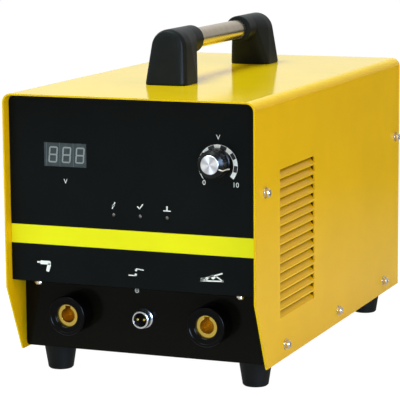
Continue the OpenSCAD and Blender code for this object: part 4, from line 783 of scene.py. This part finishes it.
class STUD_OT_dial(bpy.types.Operator):
    """Prints the dial round the knob, its end numbers, and the knob's pointer"""

    bl_idname = "stud.dial"
    bl_label = "Dial and pointer"

    def scale(self, sizes, centre, radius):
        """The ring and its end numbers. The ring narrows over the half of its sweep that leads to its low end."""
        ink = sizes.print_height
        ring = arc(sizes.dial_inner, sizes.dial_outer, DIAL_START, DIAL_START + DIAL_SWEEP, ink, DIAL_STEPS)
        low_end = 0.98 * sizes.dial_outer
        thin = low_end / sizes.dial_inner - 1
        for step in range(DIAL_STEPS // 2, DIAL_STEPS + 1):
            turn = math.radians(DIAL_START + DIAL_SWEEP * step / DIAL_STEPS)
            ray = Vector((math.cos(turn), math.sin(turn)))
            pick("VERT", lambda v: v.co.xy.length < radius and v.co.xy.normalized().dot(ray) > 0.9999)
            gain = 1 + thin * (2 * step / DIAL_STEPS - 1)
            bpy.ops.transform.resize(value=(gain, gain, 1), center_override=(0, 0, 0))
        bpy.ops.object.mode_set(mode="OBJECT")
        numbers = [numeral(number, sizes.number_height, (x * MM, y * MM), ink)
                   for number, (x, y) in DIAL_NUMBERS.items()]
        printed(join([ring] + numbers), "dial_scale", centre)

    def blocks(self, sizes, centre, radius):
        """Dark blocks, spread evenly over the ring."""
        block = bar(sizes.dial_block, sizes.dial_block_length, 2 * sizes.print_height, 0, (radius, 0), 0.06)
        marks = [block] + [copy_of(block) for _ in range(DIAL_BLOCKS - 1)]
        part = DIAL_SWEEP / (2 * DIAL_BLOCKS + 1)
        for i, mark in enumerate(marks):
            stand(mark, (0, 0, 0), (0, 0, DIAL_START + part * (2 * i + 1.5)))
        printed(join(marks), "dial_blocks", centre, "dark_ink")

    def pointer(self):
        """A line that crosses the knob's chamfer and runs down its side to the skirt."""
        low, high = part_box("setting_knob")
        top, skirt = high.y - low.y, (high.x - low.x) / 2
        grip, lip, chamfer = 11.9 * MM, 8.7 * MM, 2.3 * MM
        skirt_head, skirt_foot, blend = 2.6 * MM, 0.6 * MM, 0.6 * MM
        breadth, thick = 1.0 * MM, 0.4 * MM
        path = [(lip, top), (grip, top - chamfer), (grip, skirt_head + blend),
                (skirt, skirt_head), (skirt, skirt_foot)]
        lines = []
        for (near, up), (far, down) in zip(path, path[1:]):
            line = bar(math.hypot(far - near, up - down), breadth, thick)
            slope = math.degrees(math.atan2(up - down, far - near))
            stand(line, ((near + far) / 2, 0, (up + down) / 2), (0, slope, 0))
            lines.append(line)
        pointer = join(lines)
        stand(pointer, (0, 0, 0), FACING_FRONT)
        stand(pointer, (KNOB.x, high.y, KNOB.z), (0, POINTER_TURN, 0))
        close(pointer, "knob_pointer", "knob", "overlay_print", "ink")

    def execute(self, context):
        sizes = context.scene.stud_sizes
        centre = (KNOB.x + sizes.dial_shift, PRINT_Y, KNOB.z - sizes.dial_drop)
        radius = (sizes.dial_inner + sizes.dial_outer) / 2
        self.scale(sizes, centre, radius)
        self.blocks(sizes, centre, radius)
        self.pointer()
        return {"FINISHED"}


class STUD_OT_digits(bpy.types.Operator):
    """Lays the unlit bars of the three display digits"""

    bl_idname = "stud.digits"
    bl_label = "Display digits"

    def execute(self, context):
        sizes = context.scene.stud_sizes
        width, height, thick = sizes.digit_width, sizes.digit_height, sizes.print_height
        side = (width - sizes.digit_bar) / 2
        level = (height - sizes.digit_bar) / 2
        gap, point = sizes.digit_bar * 0.05, 0.4
        across = width - sizes.digit_bar - gap
        bars = [bar(across, sizes.digit_bar, thick, 0, (0, z), point) for z in (-level, 0, level)]
        bars += [bar(level - gap, sizes.digit_bar, thick, 90, (sx * side, sz * level / 2), point)
                 for sx in (-1, 1) for sz in (-1, 1)]
        digit = join(bars)
        digit.data.transform(Matrix.Shear("XZ", 4, (math.tan(sizes.digit_slant), 0)))
        digits = [digit, copy_of(digit), copy_of(digit)]
        for i, piece in enumerate(digits):
            stand(piece, ((i - 1) * sizes.digit_pitch, 0, 0))
        place = (WINDOW.x + sizes.digit_shift, PRINT_Y, WINDOW.z)
        printed(join(digits), "display_bars", place, "segment", "display_filter")
        return {"FINISHED"}


# Signs drawn with bars: length, breadth, turn in degrees, place across, place up, and how pointed the ends are, as a
# share of the breadth. Lengths and places are in millimetres
SIGNS = {
    # A bolt, for the charging lamp
    "bolt": ((4.2, 1.0, 60, 0.4, 1.1, 0), (2.6, 0.9, 5, 0, 0, 0), (4.2, 1.0, 60, -0.4, -1.1, 0)),
    # A tick, for the ready lamp
    "tick": ((3.0, 1.0, -45, -1.6, -0.6, 0), (5.6, 1.0, 52, 0.9, 0.4, 0)),
    # A stud on its plate, for the welding lamp
    "stud": ((7.0, 0.9, 0, 0, -2.0, 0), (3.8, 1.4, 90, 0, 0.2, 0)),
    # A gun: barrel, nose and grip
    "gun": ((10.5, 3.4, 0, 0.6, 2.6, 0.25), (3.0, 1.4, 0, -5.8, 2.8, 0), (7.6, 3.2, 72, 3.6, -1.6, 0.2)),
    # A closing contact: two leads, a fixed and a moving point
    "contact": ((6.5, 0.9, 0, -4.2, -3.2, 0), (2.6, 2.2, 0, -0.6, -2.4, 0.4), (2.4, 2.4, 0, -0.2, 1.6, 0.45),
                (7.2, 0.9, -7, 3.6, 2.4, 0)),
    # A work clamp: two long jaws, the spring between them and its two handles
    "clamp": ((21.0, 1.1, 2, 0, -3.1, 0), (20.8, 1.2, 18, -0.4, 0.8, 0), (4.2, 2.6, 8, -8.3, -2.2, 0.2),
              (7.0, 0.9, 40, -3.6, -1.0, 0), (4.8, 3.6, 0, 0.8, 0.2, 0.48), (7.4, 1.1, -32, 7.1, -1.0, 0)),
}


class STUD_OT_signs(bpy.types.Operator):
    """Prints plain signs over the lamps and the sockets, and the units of the display and the knob"""

    bl_idname = "stud.signs"
    bl_label = "Printed signs"

    def execute(self, context):
        sizes = context.scene.stud_sizes
        ink = sizes.print_height
        low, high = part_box("indicator_lamps")
        lens = 1.9 * MM
        gap = (high.x - low.x) / 2 - lens
        over_lamps = LAMPS.z + 8 * MM
        over_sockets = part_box("front_overlay")[0].z + 14.5 * MM
        places = {"bolt": (LAMPS.x - gap, over_lamps), "tick": (LAMPS.x, over_lamps),
                  "stud": (LAMPS.x + gap, over_lamps), "gun": (-83.5 * MM, over_sockets),
                  "contact": (4.2 * MM, over_sockets), "clamp": (74.5 * MM, over_sockets)}
        signs = []
        for sign, (across, up) in places.items():
            signs += [bar(length * MM, breadth * MM, ink, turn, (across + x * MM, up + y * MM), point)
                      for length, breadth, turn, x, y, point in SIGNS[sign]]
        units = ((WINDOW.x, WINDOW.z - 23.3 * MM), (KNOB.x + 1.2 * MM, KNOB.z + 21.2 * MM))
        signs += [numeral("V", sizes.number_height, at, ink) for at in units]
        printed(join(signs), "panel_signs", (0, PRINT_Y, 0))
        # A plug seen from its end, over the connector
        plug = join([arc(1.3 * MM, 1.9 * MM, 0, 360, ink, 32), bar(1.0 * MM, 1.0 * MM, ink, 45, (0, 0), 0.3)])
        panel_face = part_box("left_socket_body")[1].y - sizes.socket_back
        connector, aside, over = middle("connector_shell"), 6.7 * MM, 24 * MM
        printed(plug, "connector_sign", (connector.x - aside, panel_face, connector.z + over))
        return {"FINISHED"}


class STUD_OT_rocker_marks(bpy.types.Operator):
    """Inlays the on and off marks on the power rocker"""

    bl_idname = "stud.rocker_marks"
    bl_label = "Rocker marks"

    def execute(self, context):
        thick, offset = 0.2 * MM, 5.4 * MM
        line = bar(4.4 * MM, 1.0 * MM, thick, 90, (0, offset), 0.2)
        ring = arc(1.5 * MM, 2.3 * MM, 0, 360, thick, 40)
        stand(ring, (0, -offset, 0))
        pivot = Vector(next(j for j in frame["joints"] if j["child"] == "rocker")["pos_m"])
        # The rocker leans at rest, its two faces fold away from each other, and they stand off its pivot
        lean, fold, face = -10, 9.6, 4.0 * MM
        for mark, turn in ((line, lean - fold), (ring, lean + fold)):
            stand(mark, (0, face, 0), (-90, 180, 0))
            stand(mark, pivot, (turn, 0, 0))
        close(join([line, ring]), "rocker_marks", "rocker", "overlay_print", "ink")
        return {"FINISHED"}


class STUD_OT_stage(bpy.types.Operator):
    """Sets a white floor, soft studio light and the camera"""

    bl_idname = "stud.stage"
    bl_label = "Stage"

    def floor(self):
        """A white floor that keeps a faint shadow, and that mirrors show as a sheet of paper in a dim room."""
        begin()
        bpy.ops.mesh.primitive_plane_add(size=60)
        piece = bpy.context.object
        piece.name = "studio_floor"
        made, tree, place = begin_material("white studio floor")
        path = node(tree, "LightPath").outputs
        white, glowing = 1.12, 0.88
        # Bright under the case, dim further out, and bright again well in front of it
        away = vector_maths(tree, "LENGTH", vector_maths(tree, "MULTIPLY", place, (1, 1, 0)))
        paper = maths(tree, "MAXIMUM", between(tree, away, 0.6, 0.1, 0.35, 1.1),
                      between(tree, coordinate(tree, place, "Y"), 0.85, 0.0, -0.7, -0.3))
        strength = between(tree, path["Is Camera Ray"], paper, white, 0, 1)
        lit = node(tree, "BsdfDiffuse", {"Color": between(tree, paper, 0.35, 0.95, 0.1, 0.6)})
        glow = node(tree, "Emission", {"Color": (1, 1, 1, 1), "Strength": strength})
        share = maths(tree, "MULTIPLY", self.seen(tree, path), glowing)
        both = node(tree, "MixShader", {0: share, 1: lit.outputs[0], 2: glow.outputs[0]})
        node(tree, "OutputMaterial", {"Surface": both.outputs[0]})
        piece.data.materials.append(made)

    def seen(self, tree, path):
        """A factor that is 1 for rays that show the room, straight, mirrored or through glass."""
        shown = maths(tree, "MAXIMUM", path["Is Camera Ray"], path["Is Glossy Ray"])
        return maths(tree, "MAXIMUM", shown, path["Is Transmission Ray"])

    def sky(self, strength):
        """Even light all round. Mirrors show a white wall on the left and a dim room on the right."""
        world = bpy.data.worlds.new("white studio room")
        world.use_nodes = True
        tree = world.node_tree
        tree.nodes.clear()
        path = node(tree, "LightPath").outputs
        across = coordinate(tree, node(tree, "TexCoord").outputs["Generated"], "X")
        room = between(tree, across, 0.9, 0.6, -0.1, 0.35)
        level = between(tree, self.seen(tree, path), strength, room, 0, 1)
        level = between(tree, path["Is Camera Ray"], level, 1.0, 0, 1)
        back = node(tree, "Background", {"Color": (1, 1, 1, 1), "Strength": level})
        node(tree, "OutputWorld", {"Surface": back.outputs[0]})
        bpy.context.scene.world = world

    def lamp(self, name, place, aim, breadth, watts, colour, mirrored=True, lighting=True):
        """A soft lamp of a breadth and a height, aimed at a point. Unless mirrored, mirrors leave it out, and unless
        lighting, only they show it."""
        begin()
        bpy.ops.object.light_add(type="AREA", location=place)
        lamp = bpy.context.object
        lamp.name = name
        lamp.data.shape = "RECTANGLE"
        lamp.data.size, lamp.data.size_y = breadth
        lamp.data.energy = watts
        lamp.data.color = linear(colour)
        lamp.visible_glossy = mirrored
        lamp.visible_diffuse = lighting
        lamp.rotation_euler = (Vector(aim) - Vector(place)).to_track_quat("-Z", "Y").to_euler()

    def camera(self, stage):
        """The camera of the photo, turned by its yaw, its pitch and its roll."""
        begin()
        bpy.ops.object.camera_add()
        camera = bpy.context.object
        camera.name = "photo_view"
        turn = (Matrix.Rotation(stage.yaw, 4, "Z") @ Matrix.Rotation(math.pi / 2 - stage.pitch, 4, "X")
                @ Matrix.Rotation(stage.roll, 4, "Z"))
        camera.matrix_world = Matrix.Translation(stage.place) @ turn
        camera.data.sensor_width = 36
        camera.data.lens = stage.lens
        camera.data.clip_end = 100
        bpy.context.scene.camera = camera

    def execute(self, context):
        stage = context.scene.stud_stage
        self.floor()
        self.sky(stage.sky)
        self.lamp("key_softbox", (-0.5, -0.7, 2.8), (0, 0, 0.1), (1.8, 1.4), stage.key, "#E9FFFB")
        self.lamp("side_softbox", (2.3, -1.0, 0.9), (0, 0, 0.2), (0.5, 1.5), stage.fill, "#FFCB8C",
                  mirrored=False)
        self.lamp("strip_softbox", (1.75, -1.6, 0.65), (0, 0, 0.25), (1.0, 1.2), stage.strip, "#B4D4FF",
                  lighting=False)
        self.camera(stage)
        context.scene.view_settings.view_transform = "Standard"
        return {"FINISHED"}


class STUD_PT_panel(bpy.types.Panel):
    """Lists the steps in order"""

    bl_label = "Stud welder"
    bl_space_type = "VIEW_3D"
    bl_region_type = "UI"
    bl_category = "Stud welder"

    def draw(self, context):
        for step in STEPS:
            self.layout.operator(step.bl_idname)
        for name, group in GROUPS.items():
            for key in group.__annotations__:
                self.layout.prop(getattr(context.scene, name), key)


STEPS = (STUD_OT_finishes, STUD_OT_handle, STUD_OT_sockets, STUD_OT_connector, STUD_OT_dial, STUD_OT_digits,
         STUD_OT_signs, STUD_OT_rocker_marks, STUD_OT_stage)
GROUPS = {"stud_sizes": StudWelderSizes, "stud_colours": StudWelderColours, "stud_stage": StudWelderStage}


def register():
    """Registers the groups, the operators and the panel."""
    for name, group in GROUPS.items():
        bpy.utils.register_class(group)
        setattr(bpy.types.Scene, name, PointerProperty(type=group))
    for step in (*STEPS, STUD_PT_panel):
        bpy.utils.register_class(step)


def unregister():
    """Takes them away again."""
    for step in reversed((*STEPS, STUD_PT_panel)):
        bpy.utils.unregister_class(step)
    for name, group in GROUPS.items():
        delattr(bpy.types.Scene, name)
        bpy.utils.unregister_class(group)


def main():
    """Runs the steps in order."""
    register()
    for step in STEPS:
        group, name = step.bl_idname.split(".")
        getattr(getattr(bpy.ops, group), name)()
    begin()


if __name__ == "__main__":
    main()
